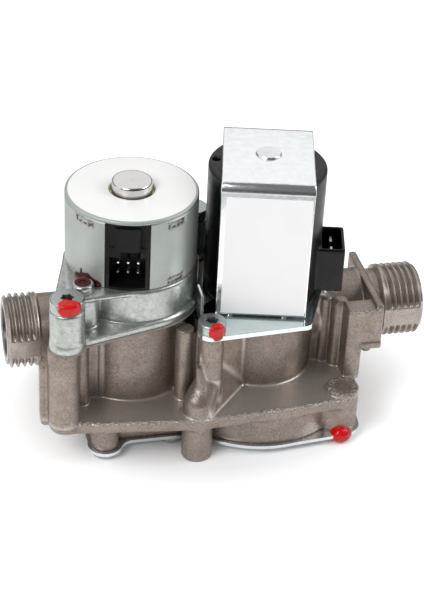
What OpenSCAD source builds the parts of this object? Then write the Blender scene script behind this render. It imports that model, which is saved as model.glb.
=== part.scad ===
// Two-solenoid gas control with a modulating regulator, millimetres.
// Origin: floor level, middle of the length, in the plane of the two tower axes. +X is the inlet end.

/* [Pipe ends] */
// Length from one threaded end to the other
overall_l = 120; // [114:0.1:124]
// Height of the pipe axis above the floor
pipe_h = 27.7; // [27:0.1:28.4]
// Distance of the pipe axis behind the plane of the towers
pipe_y = 4; // [3:0.1:5]
// Outside radius of the G 1/2 pipe thread
thread_r = 10.478; // [10.3:0.001:10.7]
// Distance of the die-parting flats from the pipe axis
thread_flat_r = 10.1; // [9.9:0.05:10.2]
// Radius of the gas bore in both ends
bore_r = 7.1; // [6.5:0.1:7.4]
// Threaded length of the outlet
outlet_thread_l = 9; // [7:0.1:10]
// Radius of the plain shank behind the outlet thread
outlet_shank_r = 9.9; // [9.5:0.05:10.2]
// Threaded length of the inlet, with its collar
inlet_thread_l = 11.7; // [11:0.1:13]
// Radius of the neck behind the inlet thread
inlet_neck_r = 9.3; // [8.8:0.05:9.8]
// Length of the neck between inlet thread and flange
inlet_neck_l = 3.5; // [2.5:0.1:4.5]

/* [Inlet flange] */
// Thickness of the inlet flange
flange_t = 2.3; // [1.6:0.1:3]
// Half width of the inlet flange
flange_half_w = 14.8; // [14:0.1:16]
// Top edge of the flange above the pipe axis
flange_up = 10.6; // [10.5:0.1:12]
// Lower edge of the flange ears below the pipe axis
flange_ear_drop = 3.8; // [2:0.1:6]
// Width of the block that stiffens the front ear
block_w = 10.3; // [8:0.1:11]
// Depth of that block, front to back
block_d = 6; // [5:0.1:7]
// Top of that block below the flange's top edge
block_step = 1.4; // [0.8:0.1:3]
// Width of the pillar under the block
pillar_w = 4.8; // [4:0.1:5.4]

/* [Levels] */
// Height of the cover screws' heads, which stand on the floor
cover_head_h = 2; // [1.6:0.1:2.6]
// Thickness of the bottom cover plate
cover_t = 1; // [0.8:0.1:1.4]
// Underside of the body's rim
rim_z = 11.1; // [10:0.1:11.6]
// Thickness of the rim
rim_t = 3.6; // [3:0.1:4.2]
// Top of the left tower above the pipe axis
left_rise = 11.5; // [11:0.1:12.2]
// Top of the right tower above the pipe axis
right_rise = 10; // [9.6:0.1:10.6]

/* [Regulator tower] */
// Axis of the regulator along the length
can_x = -25.1; // [-26:0.1:-24.6]
// Radius of the cast left tower
left_tower_r = 16.8; // [16.4:0.1:17.2]
// Thickness of the housing gasket
gasket_t = 0.6; // [0.4:0.1:1]
// Height of the regulator housing
housing_h = 12.1; // [11:0.1:14]
// Thickness of the housing's foot flange
foot_t = 2; // [1.6:0.1:3]
// Radius of the housing's foot flange
foot_r = 19.3; // [19:0.1:20]
// Radius of the housing's wall
housing_r = 18.6; // [18.2:0.1:18.9]
// Radius of the spring chamber in the housing
spring_chamber_r = 13; // [12:0.1:14]
// Radius of the housing's screw bosses
boss_r = 4.7; // [4.4:0.1:5]
// Offset of the front screw boss from the regulator axis, along the length
boss_dx = -20.9; // [-21.4:0.1:-20.4]
// How far the front screw boss stands out beyond the diaphragm chamber's shell
boss_out = 0.7; // [0.3:0.1:0.9]
// Radius of the steel can
can_r = 18.1; // [17.8:0.1:18.4]
// Height of the can's wall
can_h = 20.1; // [18:0.1:24]
// Wall of the can
can_t = 1.2; // [0.8:0.1:1.5]
// Thickness of the can's lid
lid_t = 1; // [0.8:0.1:1.4]
// Width of the can's open seam
seam_w = 12.2; // [11.6:0.1:13]
// Direction that the seam and the yoke face, from the front
turn = -13.3; // [-16:0.1:-10]
// Radius of the moving core
core_r = 5.5; // [5:0.1:5.8]
// Height of the core above the lid
core_proud = 3; // [2.6:0.1:4]
// Travel of the core
core_travel = 1; // [0.6:0.1:1.2]

/* [Solenoid tower] */
// Axis of the solenoid along the length
coil_x = 12.2; // [11.8:0.1:12.6]
// Radius of the cast right tower
right_tower_r = 15.5; // [15.2:0.1:16]
// Radius of the round shell of the diaphragm chamber
shell_r = 27.2; // [26.6:0.1:27.8]
// Thickness of the coil's flange plate
plate_t = 1.5; // [1.2:0.1:2]
// Radius of the flange plate round the axis
plate_r = 17.5; // [17:0.1:18]
// Radius of the moulded coil
coil_r = 16.2; // [15.8:0.1:16.6]
// Height of the moulded coil
coil_h = 38.7; // [36:0.1:41]
// Gap between the coil's top and the yoke
coil_gap = 1.2; // [1.2:0.1:2]
// Width of the yoke bracket
yoke_w = 24.8; // [23:0.1:26]
// Depth of the yoke bracket
yoke_d = 34; // [33.4:0.1:36]
// Thickness of the yoke strip
yoke_t = 1.7; // [1.2:0.1:2]
// Outside radius of the yoke's bends
yoke_bend_r = 3.2; // [2.4:0.1:4]
// Reach of the coil's connector from the axis
socket_reach = 22.6; // [22.2:0.1:24]
// Depth of the coil's connector, front to back
socket_d = 13; // [12:0.1:14]
// Height of the coil's connector
socket_h = 13.6; // [12:0.1:16]
// Underside of the connector above the flange plate
socket_lift = 2.6; // [2:0.1:4]
// Radius of the plunger
plunger_r = 5; // [4.6:0.1:5.2]
// Wall of the armature tube
tube_t = 0.7; // [0.5:0.05:0.8]
// Lift of the on/off valve
valve_lift = 2.5; // [1.5:0.1:2.6]
// Lift of the main valve
main_lift = 2.5; // [1.5:0.1:2.8]

/* [Screws] */
// Radius of the cover screws' heads
cover_head_r = 3.7; // [3.2:0.1:4]
// Radius of the cover screws' shanks
cover_screw_r = 1.6; // [1.4:0.1:1.8]
// Radius of the heads of the housing screws
housing_head_r = 4.6; // [4:0.1:4.8]
// Height of the heads of the housing screws
housing_head_h = 3.3; // [2.6:0.1:4]
// Radius of the shanks of the housing and flange plate screws
tower_screw_r = 2; // [1.8:0.1:2.2]
// Radius of the heads of the flange plate screws
plate_head_r = 3.9; // [3.4:0.1:4.2]
// Height of the heads of the flange plate screws
plate_head_h = 3; // [2.4:0.1:3.6]
// Radius of the can screw's head
can_head_r = 3; // [2.6:0.1:3.2]

/* [Fits] */
// Radial clearance of a sliding shaft in its bore
run_gap = 0.05; // [0.02:0.01:0.08]
// Radial clearance of a screw or a plain insert in its hole
hole_gap = 0.05; // [0.02:0.01:0.1]
// Clearance between pieces that only pass each other
pass_gap = 0.4; // [0.3:0.05:0.5]

/* [Hidden] */
$fn = 72;
// Overlap of shapes that are joined into one solid, and overrun of cuts
eps = 0.02;

// Colours
cast_aluminium = "#968c84";
cast_zinc = "#b4bdbb";
zinc_steel = "#c9d0d2";
can_steel = "#b2b8b2";
bright_steel = "#cfd2d4";
black_plastic = "#1b1b1c";
copper = "#b8703a";
black_rubber = "#2a2a2a";
brass = "#b99a52";
label_white = "#f2f2f0";

// Axes
can_axis = [can_x, 0];
coil_axis = [coil_x, 0];
half_l = overall_l / 2;

// Levels, from the floor up
cover_z = cover_head_h;
cover_top = cover_z + cover_t;
shelf_z = rim_z + rim_t;
left_top = pipe_h + left_rise;
right_top = pipe_h + right_rise;
housing_z = left_top + gasket_t;
housing_top = housing_z + housing_h;
can_top = housing_top + can_h;
lid_top = can_top + lid_t;
core_top = lid_top + core_proud;
plate_top = right_top + plate_t;
coil_top = plate_top + coil_h;
yoke_z = coil_top + coil_gap;
yoke_top = yoke_z + yoke_t;

// Main valve under the right tower: diaphragm, chamber, seat
diaphragm_t = 0.8;
diaphragm_rim = 1.6;
clamp_w = 2;
diaphragm_r = shell_r - diaphragm_rim;
chamber_r = diaphragm_r - clamp_w;
roll_r = 2;
roll_gap = 1.2;
roll_mid_r = chamber_r - roll_r - roll_gap;
diaphragm_plate_gap = 1;
diaphragm_plate_r = roll_mid_r - roll_r - diaphragm_plate_gap;
diaphragm_plate_t = 1.2;
diaphragm_top = cover_top + diaphragm_t;
seat_floor_t = 2.2;
chamber_rise = 0.9;
chamber_top = rim_z + chamber_rise;
seat_floor = chamber_top + seat_floor_t;
lip_h = 0.9;
lip_w = 1.2;
main_seat_r = 6.5;
main_seat_z = seat_floor + lip_h;
seal_t = 1.5;
disc_t = 1;
main_disc_over = 0.8;
main_disc_r = main_seat_r + lip_w + main_disc_over;
stem_r = 3;
stem_collar_r = 4.2;
spring_wire = 0.8;
main_spring_wire = 0.6;
main_spring_r = 5.4;
seat_gap = 0.02;

// On/off valve: middle chamber, seat insert, valve chamber
middle_r = 10.4;
insert_t = 2.2;
spring_room = 3.2;
insert_z = main_seat_z + seal_t + disc_t + main_lift + spring_room;
insert_top = insert_z + insert_t;
valve_seat_r = 5.5;
valve_seat_z = insert_top + lip_h;
valve_chamber_r = 12;
valve_seal_over = 1.2;
valve_seal_r = valve_seat_r + lip_w + valve_seal_over;
valve_disc_over = 0.3;
valve_disc_r = valve_seal_r + valve_disc_over;
plunger_z = valve_seat_z + seal_t + disc_t;
tube_flange_t = 1.3;
o_ring_d = 1.2;
tower_wall = 2;
tube_flange_r = right_tower_r - tower_wall;
tube_seat_z = right_top - tube_flange_t - o_ring_d;
o_ring_mid_r = (valve_chamber_r + tube_flange_r) / 2;
tube_in_r = plunger_r + run_gap;
tube_out_r = tube_in_r + tube_t;
pole_air = 0.5;
pole_l = 17;
pole_z = yoke_z - pole_l;
plunger_top = pole_z - pole_air - valve_lift;
spring_bore_r = 2.6;
spring_bore_l = 9;
rivet_r = 3.55;
rivet_h = 0.6;
rivet_neck_r = 2.6;

// Coil
bobbin_gap = 0.1;
bobbin_bore_r = tube_out_r + bobbin_gap;
bobbin_wall = 1;
bobbin_flange_t = 1.2;
coil_skin = 2.6;
coil_cover = 2.3;
winding_inset = 0.6;
bobbin_r = coil_r - coil_skin;
winding_r = bobbin_r - winding_inset;
bobbin_z = plate_top + coil_cover;
bobbin_top = coil_top - coil_cover;
socket_wall = 1;
socket_z = plate_top + socket_lift;
socket_top = socket_z + socket_h;
socket_floor_t = 3;
socket_root = coil_r + 0.1;
blade_t = 0.8;
blade_w = 2.8;
blade_l = 8.6;
blade_gap = 5.4;
vent_at = coil_axis + [-13.3, 4.6];
vent_r = 1.1;
vent_l = 1.5;
label_t = 0.15;
label_left = 1.4;
label_right = 0.4;
label_gap = 1;

// Places of the fasteners, front ones first
plate_screw_dx = 18.4;
plate_screw_dy = 20.4;
plate_screw = [coil_x - plate_screw_dx, -plate_screw_dy];
plate_screw_back = 2 * coil_axis - plate_screw;
plate_ear_r = 4;
plate_corner_dx = 7.6;
plate_corner = [coil_x + plate_corner_dx, -plate_screw_dy];
plate_corner_r = 2.4;
plate_inset = 0.1;
boss_dy = boss_r - shell_r - boss_out;
housing_boss = can_axis + [boss_dx, boss_dy];
boss_back_in = 4.5;
housing_boss_back = can_axis - [boss_dx, boss_dy + boss_back_in];
can_screw_r = 1.5;
can_screw_h = 1.7;
can_screw_l = 6;
can_tab_t = 0.5;
can_screw_dir = 223.8;
can_screw_at = can_axis + (can_r + can_head_r + pass_gap) * [cos(can_screw_dir), sin(can_screw_dir)];
box_half = 18.4;
corner_out = 1.9;
corner_dir = 45;
lobe_dx = 9.9;
lobe_out = 1.2;
inner_dx = 9.6;
inner_in = 3;
cover_corner = coil_axis + (shell_r + corner_out) * [cos(corner_dir), sin(corner_dir)];
cover_lobe = [can_x - lobe_dx, box_half + lobe_out];
cover_inner = [can_x + inner_dx, box_half - inner_in];
cover_screws_at = [for (p = [cover_corner, cover_lobe, cover_inner], s = [-1, 1]) [p[0], s * p[1]]];
cover_screw_l = 7;
tower_screw_l = 9;

// Lower body
box_l = 13.6;
box_x = can_x - box_l;
lobe_r = 3.9;
corner_r = 4.6;
cover_edge = 1;
sweep_r = 4;
rim_out = 1.1;
rim_left_dx = 21.5;
rim_left_in = 2.6;
rim_apex_dx = 12;
rim_apex_r_dx = 16;
rim_left = [can_x - rim_left_dx, shell_r - rim_left_in];
rim_apex = [can_x + rim_apex_dx, shell_r + rim_out];
rim_apex_r = [coil_x - rim_apex_r_dx, shell_r + rim_out];
corner_pad_h = 1.2;
lug_r = 4.3;
lug_out = 1.3;
lug_dx = 22;
lug_at = [coil_x - lug_dx, lug_r - shell_r - lug_out];
lug_h = 18.5;
lug_lean_h = 8;
column_r = 3.6;
left_column_r = 4.3;
left_column_dx = 0.9;
left_column_back = 1.1;
left_column_foot = 3.2;
left_column_rise = 1.7;
left_column_z = rim_z + left_column_rise;
left_column_at = housing_boss + [-left_column_dx, left_column_r + left_column_back - boss_r];
left_wall_half = 13;
left_wall_back = -6;
chamber_wall = 5;
way_past = 5;

// Regulator tower, inside
gas_room_r = 9;
pilot_room_r = 12.5;
pilot_room_h = 2.7;
diaphragm2_r = 15.4;
gasket_bore_r = 15.6;
regulator_plate_r = 9;
regulator_plate_t = 1;
rod_r = 1.9;
regulator_spring_r = 4.9;
nozzle_r = 2.4;
nozzle_top = left_top - core_travel - 0.7;
housing_roof_t = 1.5;
base_t = 1.2;
base_r = can_r - can_t;
guide_t = 0.5;
guide_r = core_r + run_gap + guide_t;
core_z = housing_top + base_t + core_travel + 3;
spool_r = guide_r + 1.3;
spool_flange_t = 1.2;
spool_z = housing_top + base_t;
modulator_r = 14;
plug_wall = 1;
plug_w = seam_w - 2 * 0.3;
plug_deep = can_r - spool_r - 2 * plug_wall - 0.7;
plug_back = can_r - plug_deep - plug_wall;
plug_z = housing_top;
plug_floor_t = 0.7;
plug_h = 10;
plug_step = 0.8;
tab_half_w = 3.4;
tab_z = plug_z + plug_h + 3;
tab_top = can_top - 1.2;
pin_w = 0.64;
pin_l = 3.4;
pin_pitch = 2.7;
pin_rise = 3;
pin_z = plug_z + 3;
label_inset = 0.8;
label_r = can_r - label_inset;
lid_hole_gap = 0.5;
lid_hole_r = core_r + lid_hole_gap;
core_edge = 0.5;
stake_w = 5.6;
stake_t = 1.2;
stake_deep = 0.35;
stake_drop = 1.5;
stake_lift = 1.5;
stakes = [
    [-144, can_top - stake_drop], [-58, can_top - stake_drop], [-57, housing_top + stake_lift]
];

// Inlet, outlet and test points
flange_x = half_l - inlet_thread_l - inlet_neck_l;
flange_top = pipe_h + flange_up;
inlet_pipe_r = right_rise - 0.1;
block_top = flange_top - block_step;
inlet_wall_y = -5;
inlet_wall_drop = 1.3;
inlet_wall_h = right_top - inlet_wall_drop;
rib_dx = 3.9;
nub_r = 1.5;
nub_h = 1.7;
nub_dx = 3.6;
nub_dy = 2.4;
strainer_x = flange_x + 1;
strainer_t = 1.2;
strainer_hole_r = 0.75;
strainer_pitch = 2.1;
test_r = 4.5;
test_l = 10;
test_foot_r = 6.2;
test_end = shell_r + lug_out;
test_z = pipe_h - 2.7;
test_bore_r = 2.6;
test_bore_l = 7;
test_screw_l = 5.5;
test_slot_w = 0.8;
test_slot_l = 1.2;
test_x = [can_x, coil_x];

// A circle's point at an angle
function on_circle(c, r, a) = c + r * [cos(a), sin(a)];

// Outline of a belt round two circles
module belt(a, ra, b, rb) {
    d = b - a;
    way = atan2(d[1], d[0]);
    lean = acos((ra - rb) / norm(d));
    translate(a) circle(ra);
    translate(b) circle(rb);
    polygon([
        on_circle(a, ra, way + lean), on_circle(b, rb, way + lean),
        on_circle(b, rb, way - lean), on_circle(a, ra, way - lean)
    ]);
}

// Outline extruded between two heights
module slab(z0, z1) {
    translate([0, 0, z0]) linear_extrude(z1 - z0) children();
}

// Upright cylinder between two heights
module post(at, r, z0, z1) {
    translate([at[0], at[1], z0]) cylinder(h = z1 - z0, r = r);
}

// Upright tube between two heights
module sleeve(at, ro, ri, z0, z1) {
    difference() {
        post(at, ro, z0, z1);
        post(at, ri, z0 - eps, z1 + eps);
    }
}

// Cylinder along the pipe axis
module along_pipe(r, x0, x1) {
    translate([x0, pipe_y, pipe_h]) rotate([0, 90, 0]) cylinder(h = x1 - x0, r = r);
}

// Box between two corners
module box(a, b) {
    translate(a) cube(b - a);
}

// Children in the turned frame of the coil or the can, +X sideways and -Y to the seam
module turned(axis) {
    translate([axis[0], axis[1], 0]) rotate([0, 0, turn]) children();
}

// Wire wound as a helix with one close turn at each end, swept as one tube of triangles
module spring(at, mid_r, wire, z0, z1, turns) {
    rings = 12;
    sides = 6;
    steps = round(turns * rings);
    close_pitch = 1.08 * wire;
    open_pitch = (z1 - z0 - wire - 2 * close_pitch) / (turns - 2);
    function climb(t) = close_pitch * (min(t, 1) + max(t - turns + 1, 0))
        + open_pitch * max(min(t, turns - 1) - 1, 0);
    pts = [for (i = [0:steps], j = [0:sides - 1])
        let (
            t = i / rings,
            b = 360 * j / sides,
            r = mid_r + wire / 2 * cos(b)
        )
        [
            at[0] + r * cos(360 * t), at[1] + r * sin(360 * t),
            z0 + wire / 2 + climb(t) + wire / 2 * sin(b)
        ]];
    side_faces = [for (i = [0:steps - 1], j = [0:sides - 1])
        let (k = (j + 1) % sides, p = i * sides, q = p + sides)
        each [[p + j, q + j, q + k], [p + j, q + k, p + k]]];
    first = [for (j = [1:sides - 2]) [0, j, j + 1]];
    last = [for (j = [1:sides - 2]) let (e = steps * sides) [e, e + j + 1, e + j]];
    polyhedron(pts, concat(side_faces, first, last));
}

// Pan head with a shank on one side
module screw(at, head_r, head_h, shank_r, z, shank_l) {
    post(at, head_r, z, z + head_h);
    post(at, shank_r, z - shank_l, z + eps);
}

// Plan of the body under its rim
module lower_plan() {
    translate(coil_axis) circle(shell_r);
    translate([box_x, -box_half]) square([coil_x - box_x, 2 * box_half]);
    for (s = [-1, 1]) {
        translate([cover_lobe[0], s * cover_lobe[1]]) circle(lobe_r);
        belt(coil_axis, shell_r / 2, [cover_corner[0], s * cover_corner[1]], corner_r);
    }
}

// Plan of the rim, which stands out in front of and behind the shell
module rim_plan() {
    lower_plan();
    for (s = [-1, 1]) {
        belt(coil_axis, shell_r - eps, [cover_corner[0], s * cover_corner[1]], corner_r + eps);
        polygon([
            [rim_left[0], 0], [rim_left[0], s * rim_left[1]], [rim_apex[0], s * rim_apex[1]],
            [rim_apex_r[0], s * rim_apex_r[1]], [coil_x, s * shell_r], [coil_x, 0]
        ]);
    }
}

// Cover plate: a disc with two corners, and a straight part whose lobes run out in a sweep
module cover_sheet() {
    edge_r = shell_r + cover_edge;
    out_r = lobe_r + cover_edge;
    side = box_half + cover_edge;
    rise = side + sweep_r - cover_lobe[1];
    sweep_x = cover_lobe[0] + sqrt(pow(out_r + sweep_r, 2) - pow(rise, 2));
    post(coil_axis, edge_r, cover_z, cover_top);
    slab(cover_z, cover_top)
        translate([box_x - cover_edge, -side]) square([coil_x - box_x, 2 * side]);
    for (s = [-1, 1]) {
        lobe = [cover_lobe[0], s * cover_lobe[1]];
        corner = [cover_corner[0], s * cover_corner[1]];
        post(lobe, out_r, cover_z, cover_top);
        slab(cover_z, cover_top)
            ear(corner, corner_r + cover_edge, coil_axis, edge_r - plate_inset);
        difference() {
            slab(cover_z, cover_top)
                polygon([
                    lobe, lobe + (out_r / (out_r + sweep_r)) * [sweep_x - lobe[0], s * rise],
                    [sweep_x, s * (side - plate_inset)], [sweep_x, 0], [lobe[0], 0]
                ]);
            post([sweep_x, s * (side + sweep_r)], sweep_r, cover_z - 1, cover_top + 1);
        }
    }
}

// The housing's foot: a round flange drawn out to the two screw bosses
module foot_sheet(z0, z1) {
    post(can_axis, foot_r, z0, z1);
    for (p = [housing_boss, housing_boss_back]) {
        post(p, boss_r, z0, z1);
        slab(z0, z1) ear(p, boss_r / 2, can_axis, foot_r - plate_inset);
    }
}

// Outline of an ear: a circle drawn out to the tangents of a larger one
module ear(a, ra, b, rb) {
    d = b - a;
    way = atan2(d[1], d[0]);
    lean = acos((ra - rb) / norm(d));
    translate(a) circle(ra);
    polygon([
        on_circle(a, ra, way + lean), on_circle(b, rb, way + lean), b,
        on_circle(b, rb, way - lean), on_circle(a, ra, way - lean)
    ]);
}

// Plan of the coil's flange plate, the same turned by half a circle
module plate_plan() {
    inner_r = plate_r - plate_inset;
    translate(coil_axis) circle(plate_r);
    for (a = [0, 180])
        translate(coil_axis) rotate(a) translate(-coil_axis) {
            ear(plate_screw, plate_ear_r, coil_axis, inner_r);
            ear(plate_corner, plate_corner_r, coil_axis, inner_r);
            polygon([
                plate_screw, plate_screw - [0, plate_ear_r - plate_inset],
                plate_corner - [0, plate_corner_r - plate_inset], plate_corner,
                coil_axis + [0, -plate_inset]
            ]);
        }
}

// Pipe ends with flats where the die parts
module pipe_end(x0, x1) {
    intersection() {
        along_pipe(thread_r, x0, x1);
        box(
            [x0 - 1, pipe_y - thread_flat_r, pipe_h - 2 * thread_r],
            [x1 + 1, pipe_y + thread_flat_r, pipe_h + 2 * thread_r]
        );
    }
}

// Left tower: round wall, screw columns, ribs and draw marks of the casting
module left_tower() {
    post(can_axis, left_tower_r, rim_z, left_top);
    box([rim_left[0], -left_wall_half, rim_z], [can_x, left_wall_half, pipe_h]);
    box([rim_left[0], -left_wall_half, rim_z], [can_x, left_wall_back, left_top]);
    left_column();
    post(housing_boss_back, boss_r, rim_z, left_top);
    slab(rim_z, right_top - 1) belt(housing_boss_back, boss_r / 2, can_axis, boss_r);
    post([can_x - 14.5, -left_wall_half - 1.4], 1.8, shelf_z - eps, left_top);
    post(on_circle(can_axis, left_tower_r, -128), 0.7, shelf_z - eps, left_top);
    post(on_circle(can_axis, left_tower_r, -45), 0.8, shelf_z - eps, left_top);
    post([can_x + 12.5, -16.4], 2.5, shelf_z - eps, right_top);
    box([can_x + 11.4, -16.4, shelf_z - eps], [can_x + 13.5, 0, right_top - 1]);
}

// Column under the front housing boss: a round front with a round foot, and straight sides behind it
module left_column() {
    r = left_column_r;
    foot = left_column_foot;
    h = left_top - left_column_z;
    back = 1 - left_wall_half;
    translate([left_column_at[0], left_column_at[1], left_column_z])
        rotate_extrude() {
            square([r - foot, h]);
            translate([0, foot]) square([r, h - foot]);
            translate([r - foot, foot])
                intersection() {
                    circle(foot);
                    translate([0, -foot]) square(foot);
                }
        }
    translate([left_column_at[0], back, left_column_z])
        rotate([90, 0, 0])
            linear_extrude(back - left_column_at[1]) {
                translate([foot - r, 0]) square([2 * r - foot, h]);
                translate([-r, foot]) square([2 * r, h - foot]);
                translate([foot - r, foot]) circle(foot);
            }
}

// Right tower: round wall, flange plate columns and the webs between the towers
module right_tower() {
    post(coil_axis, right_tower_r, rim_z, right_top);
    for (p = [plate_screw, plate_screw_back])
        post(p, column_r, rim_z, right_top);
    slab(rim_z, right_top - 1.2)
        for (a = [0, 180])
            translate(coil_axis) rotate(a) translate(-coil_axis)
                polygon([
                    plate_screw + [-2.6, 1.5], plate_screw + [2.4, 2.4],
                    on_circle(coil_axis, right_tower_r, 241.4), coil_axis, [plate_screw[0] - 2.6, 0]
                ]);
    sloped_web();
    centre_lug();
}

// Sloped web from the shelf's front edge up to the wall between column and tower
module sloped_web() {
    foot = [lug_at[0] + 3.6, -shell_r];
    head = on_circle(coil_axis, right_tower_r, 244);
    run = head - foot;
    depth = 5.6;
    rise = 16;
    translate([foot[0], foot[1], shelf_z - eps])
        rotate([0, 0, atan2(run[1], run[0])])
            rotate([90, 0, 90])
                linear_extrude(norm(run))
                    polygon([[0, 0], [depth, 0], [depth, rise]]);
}

// Front foot of the casting, leaning back into the flange plate's column
module centre_lug() {
    top = [plate_screw[0], plate_screw[1], lug_h + lug_lean_h];
    base = [lug_at[0], lug_at[1], lug_h];
    lean = top - base;
    post(lug_at, lug_r, 0, lug_h);
    translate(base) sphere(lug_r - 0.05);
    translate(base)
        rotate([0, acos(lean[2] / norm(lean)), atan2(lean[1], lean[0])])
            cylinder(h = norm(lean), r = column_r - 0.05);
}

// Inlet end: neck, flange, the block and pillar at its front ear, and the draw ribs beside them
module inlet_end() {
    ear_z = pipe_h - flange_ear_drop;
    inner = flange_x - flange_t;
    pillar_x = flange_x - block_w;
    pillar_end = pillar_x + pillar_w;
    rib_x = pillar_x - rib_dx;
    front = -flange_half_w;
    block_back = front + block_d;
    wall_back = 2 * pipe_y - inlet_wall_y + 4;
    pipe_end(half_l - inlet_thread_l, half_l);
    along_pipe(inlet_neck_r, inner, half_l - inlet_thread_l + eps);
    along_pipe(inlet_pipe_r, coil_x, flange_x - eps);
    box([inner, front, ear_z], [flange_x, flange_half_w, flange_top]);
    box([pillar_x, front, ear_z], [flange_x - eps, block_back, block_top]);
    box([pillar_x, front, shelf_z - eps], [pillar_end, block_back, block_top]);
    box([pillar_x, block_back - eps, shelf_z - eps], [pillar_end, inlet_wall_y + eps, pipe_h]);
    post([flange_x - nub_dx, front + nub_dy], nub_r, ear_z - nub_h, ear_z + 1);
    box([coil_x, inlet_wall_y, rim_z], [rib_x, wall_back, inlet_wall_h]);
    box([rib_x - eps, inlet_wall_y, rim_z], [pillar_end, wall_back, pipe_h]);
    post([pillar_x - 0.3, inlet_wall_y - 2], 2.4, shelf_z - eps, block_top - 0.3);
    post([rib_x, inlet_wall_y + 0.2], 1.7, shelf_z - eps, inlet_wall_h);
}

// Outlet end: thread and plain shank
module outlet_end() {
    pipe_end(-half_l, outlet_thread_l - half_l);
    along_pipe(outlet_shank_r, outlet_thread_l - half_l - eps, can_x);
}

// Nipples for the pressure test hoses, at the back
module test_points() {
    for (x = test_x)
        translate([x, 0, test_z])
            rotate([-90, 0, 0]) {
                cylinder(h = test_end, r = test_r);
                cylinder(h = test_end - test_l, r = test_foot_r);
            }
}

// Gas way: inlet, on/off valve, main valve, lower channel, outlet, and the pilot room
module gas_ways() {
    channel_top = rim_z - 0.1;
    along_pipe(bore_r, coil_x + valve_chamber_r + way_past - 1, half_l + 1);
    box(
        [coil_x, pipe_y - bore_r, insert_top + 0.4],
        [coil_x + valve_chamber_r + way_past, pipe_y + bore_r - 1, pipe_h + bore_r - 1]
    );
    post(coil_axis, tube_flange_r + hole_gap, tube_seat_z, right_top + 1);
    post(coil_axis, valve_chamber_r, insert_z, tube_seat_z + eps);
    post(coil_axis, middle_r, main_seat_z, insert_z + eps);
    difference() {
        post(coil_axis, middle_r, seat_floor, main_seat_z + eps);
        post(coil_axis, main_seat_r + lip_w, seat_floor - eps, main_seat_z);
    }
    post(coil_axis, main_seat_r, chamber_top - eps, main_seat_z + eps);
    post(coil_axis, chamber_r, cover_top - 1, chamber_top);
    post(coil_axis, diaphragm_r + hole_gap, cover_top - 1, diaphragm_top);
    box([box_x + chamber_wall, -12, cover_top - 1], [coil_x - shell_r - 0.4, 12, channel_top]);
    box(
        [coil_x - shell_r - 1, -10, diaphragm_top + 2],
        [coil_x - chamber_r + 4, 10, channel_top]
    );
    post(can_axis, gas_room_r, channel_top - eps, pipe_h);
    along_pipe(bore_r, -half_l - 1, can_x);
    post(can_axis, pilot_room_r, left_top - pilot_room_h, left_top + 1);
    post(can_axis, nozzle_r + hole_gap, pipe_h, left_top);
}

// Holes of the screws and of the test points
module body_holes() {
    for (p = cover_screws_at)
        post(p, cover_screw_r + hole_gap, 0, cover_top + cover_screw_l + 0.5);
    for (p = [plate_screw, plate_screw_back])
        post(p, tower_screw_r + hole_gap, right_top - tower_screw_l - 0.5, right_top + 1);
    for (p = [housing_boss, housing_boss_back])
        post(p, tower_screw_r + hole_gap, left_top - tower_screw_l - 0.5, left_top + 1);
    for (x = test_x)
        translate([x, test_end - test_bore_l, test_z])
            rotate([-90, 0, 0]) cylinder(h = test_bore_l + 1, r = test_bore_r);
}

module main_body() {
    color(cast_aluminium)
        difference() {
            union() {
                slab(cover_top, rim_z + eps) lower_plan();
                slab(rim_z, shelf_z) rim_plan();
                for (s = [-1, 1])
                    post([cover_corner[0], s * cover_corner[1]], corner_r, rim_z, shelf_z + corner_pad_h);
                left_tower();
                right_tower();
                inlet_end();
                outlet_end();
                test_points();
            }
            gas_ways();
            body_holes();
        }
}

module bottom_cover() {
    color(zinc_steel)
        difference() {
            cover_sheet();
            for (p = cover_screws_at)
                post(p, cover_screw_r + hole_gap, 0, cover_top + 1);
            post(lug_at, lug_r + pass_gap, 0, cover_top + 1);
        }
}

module cover_screws() {
    color(bright_steel)
        for (p = cover_screws_at) {
            post(p, cover_head_r, 0, cover_z);
            post(p, cover_screw_r, cover_z - eps, cover_top + cover_screw_l);
        }
}

module main_diaphragm() {
    color(black_rubber)
        translate([coil_x, 0, cover_top])
            rotate_extrude() {
                square([roll_mid_r - roll_r + diaphragm_t, diaphragm_t]);
                translate([roll_mid_r + roll_r - diaphragm_t, 0])
                    square([diaphragm_r - roll_mid_r - roll_r + diaphragm_t, diaphragm_t]);
                translate([roll_mid_r, 0])
                    difference() {
                        intersection() {
                            circle(roll_r);
                            translate([-roll_r, 0]) square([2 * roll_r, roll_r]);
                        }
                        circle(roll_r - diaphragm_t);
                    }
            }
}

module diaphragm_plate() {
    color(zinc_steel) {
        post(coil_axis, diaphragm_plate_r, diaphragm_top, diaphragm_top + diaphragm_plate_t);
        post(coil_axis, stem_collar_r, diaphragm_top, main_seat_z);
        post(coil_axis, stem_r, diaphragm_top, main_seat_z + seal_t + disc_t);
    }
}

module main_valve_seal() {
    color(black_rubber)
        sleeve(coil_axis, main_disc_r, stem_r + hole_gap, main_seat_z, main_seat_z + seal_t);
}

module main_valve_disc() {
    z = main_seat_z + seal_t;
    color(brass)
        sleeve(coil_axis, main_disc_r, stem_r + hole_gap, z, z + disc_t);
}

module main_valve_spring() {
    z = main_seat_z + seal_t + disc_t;
    color(bright_steel)
        spring(coil_axis, main_spring_r, main_spring_wire, z + seat_gap, insert_z - seat_gap, 3);
}

module seat_insert() {
    color(brass)
        difference() {
            union() {
                post(coil_axis, valve_chamber_r - hole_gap, insert_z, insert_top);
                post(coil_axis, valve_seat_r + lip_w, insert_z, valve_seat_z);
            }
            post(coil_axis, valve_seat_r, insert_z - 1, valve_seat_z + 1);
        }
}

module valve_seal() {
    color(black_rubber)
        post(coil_axis, valve_seal_r, valve_seat_z, valve_seat_z + seal_t);
}

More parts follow.
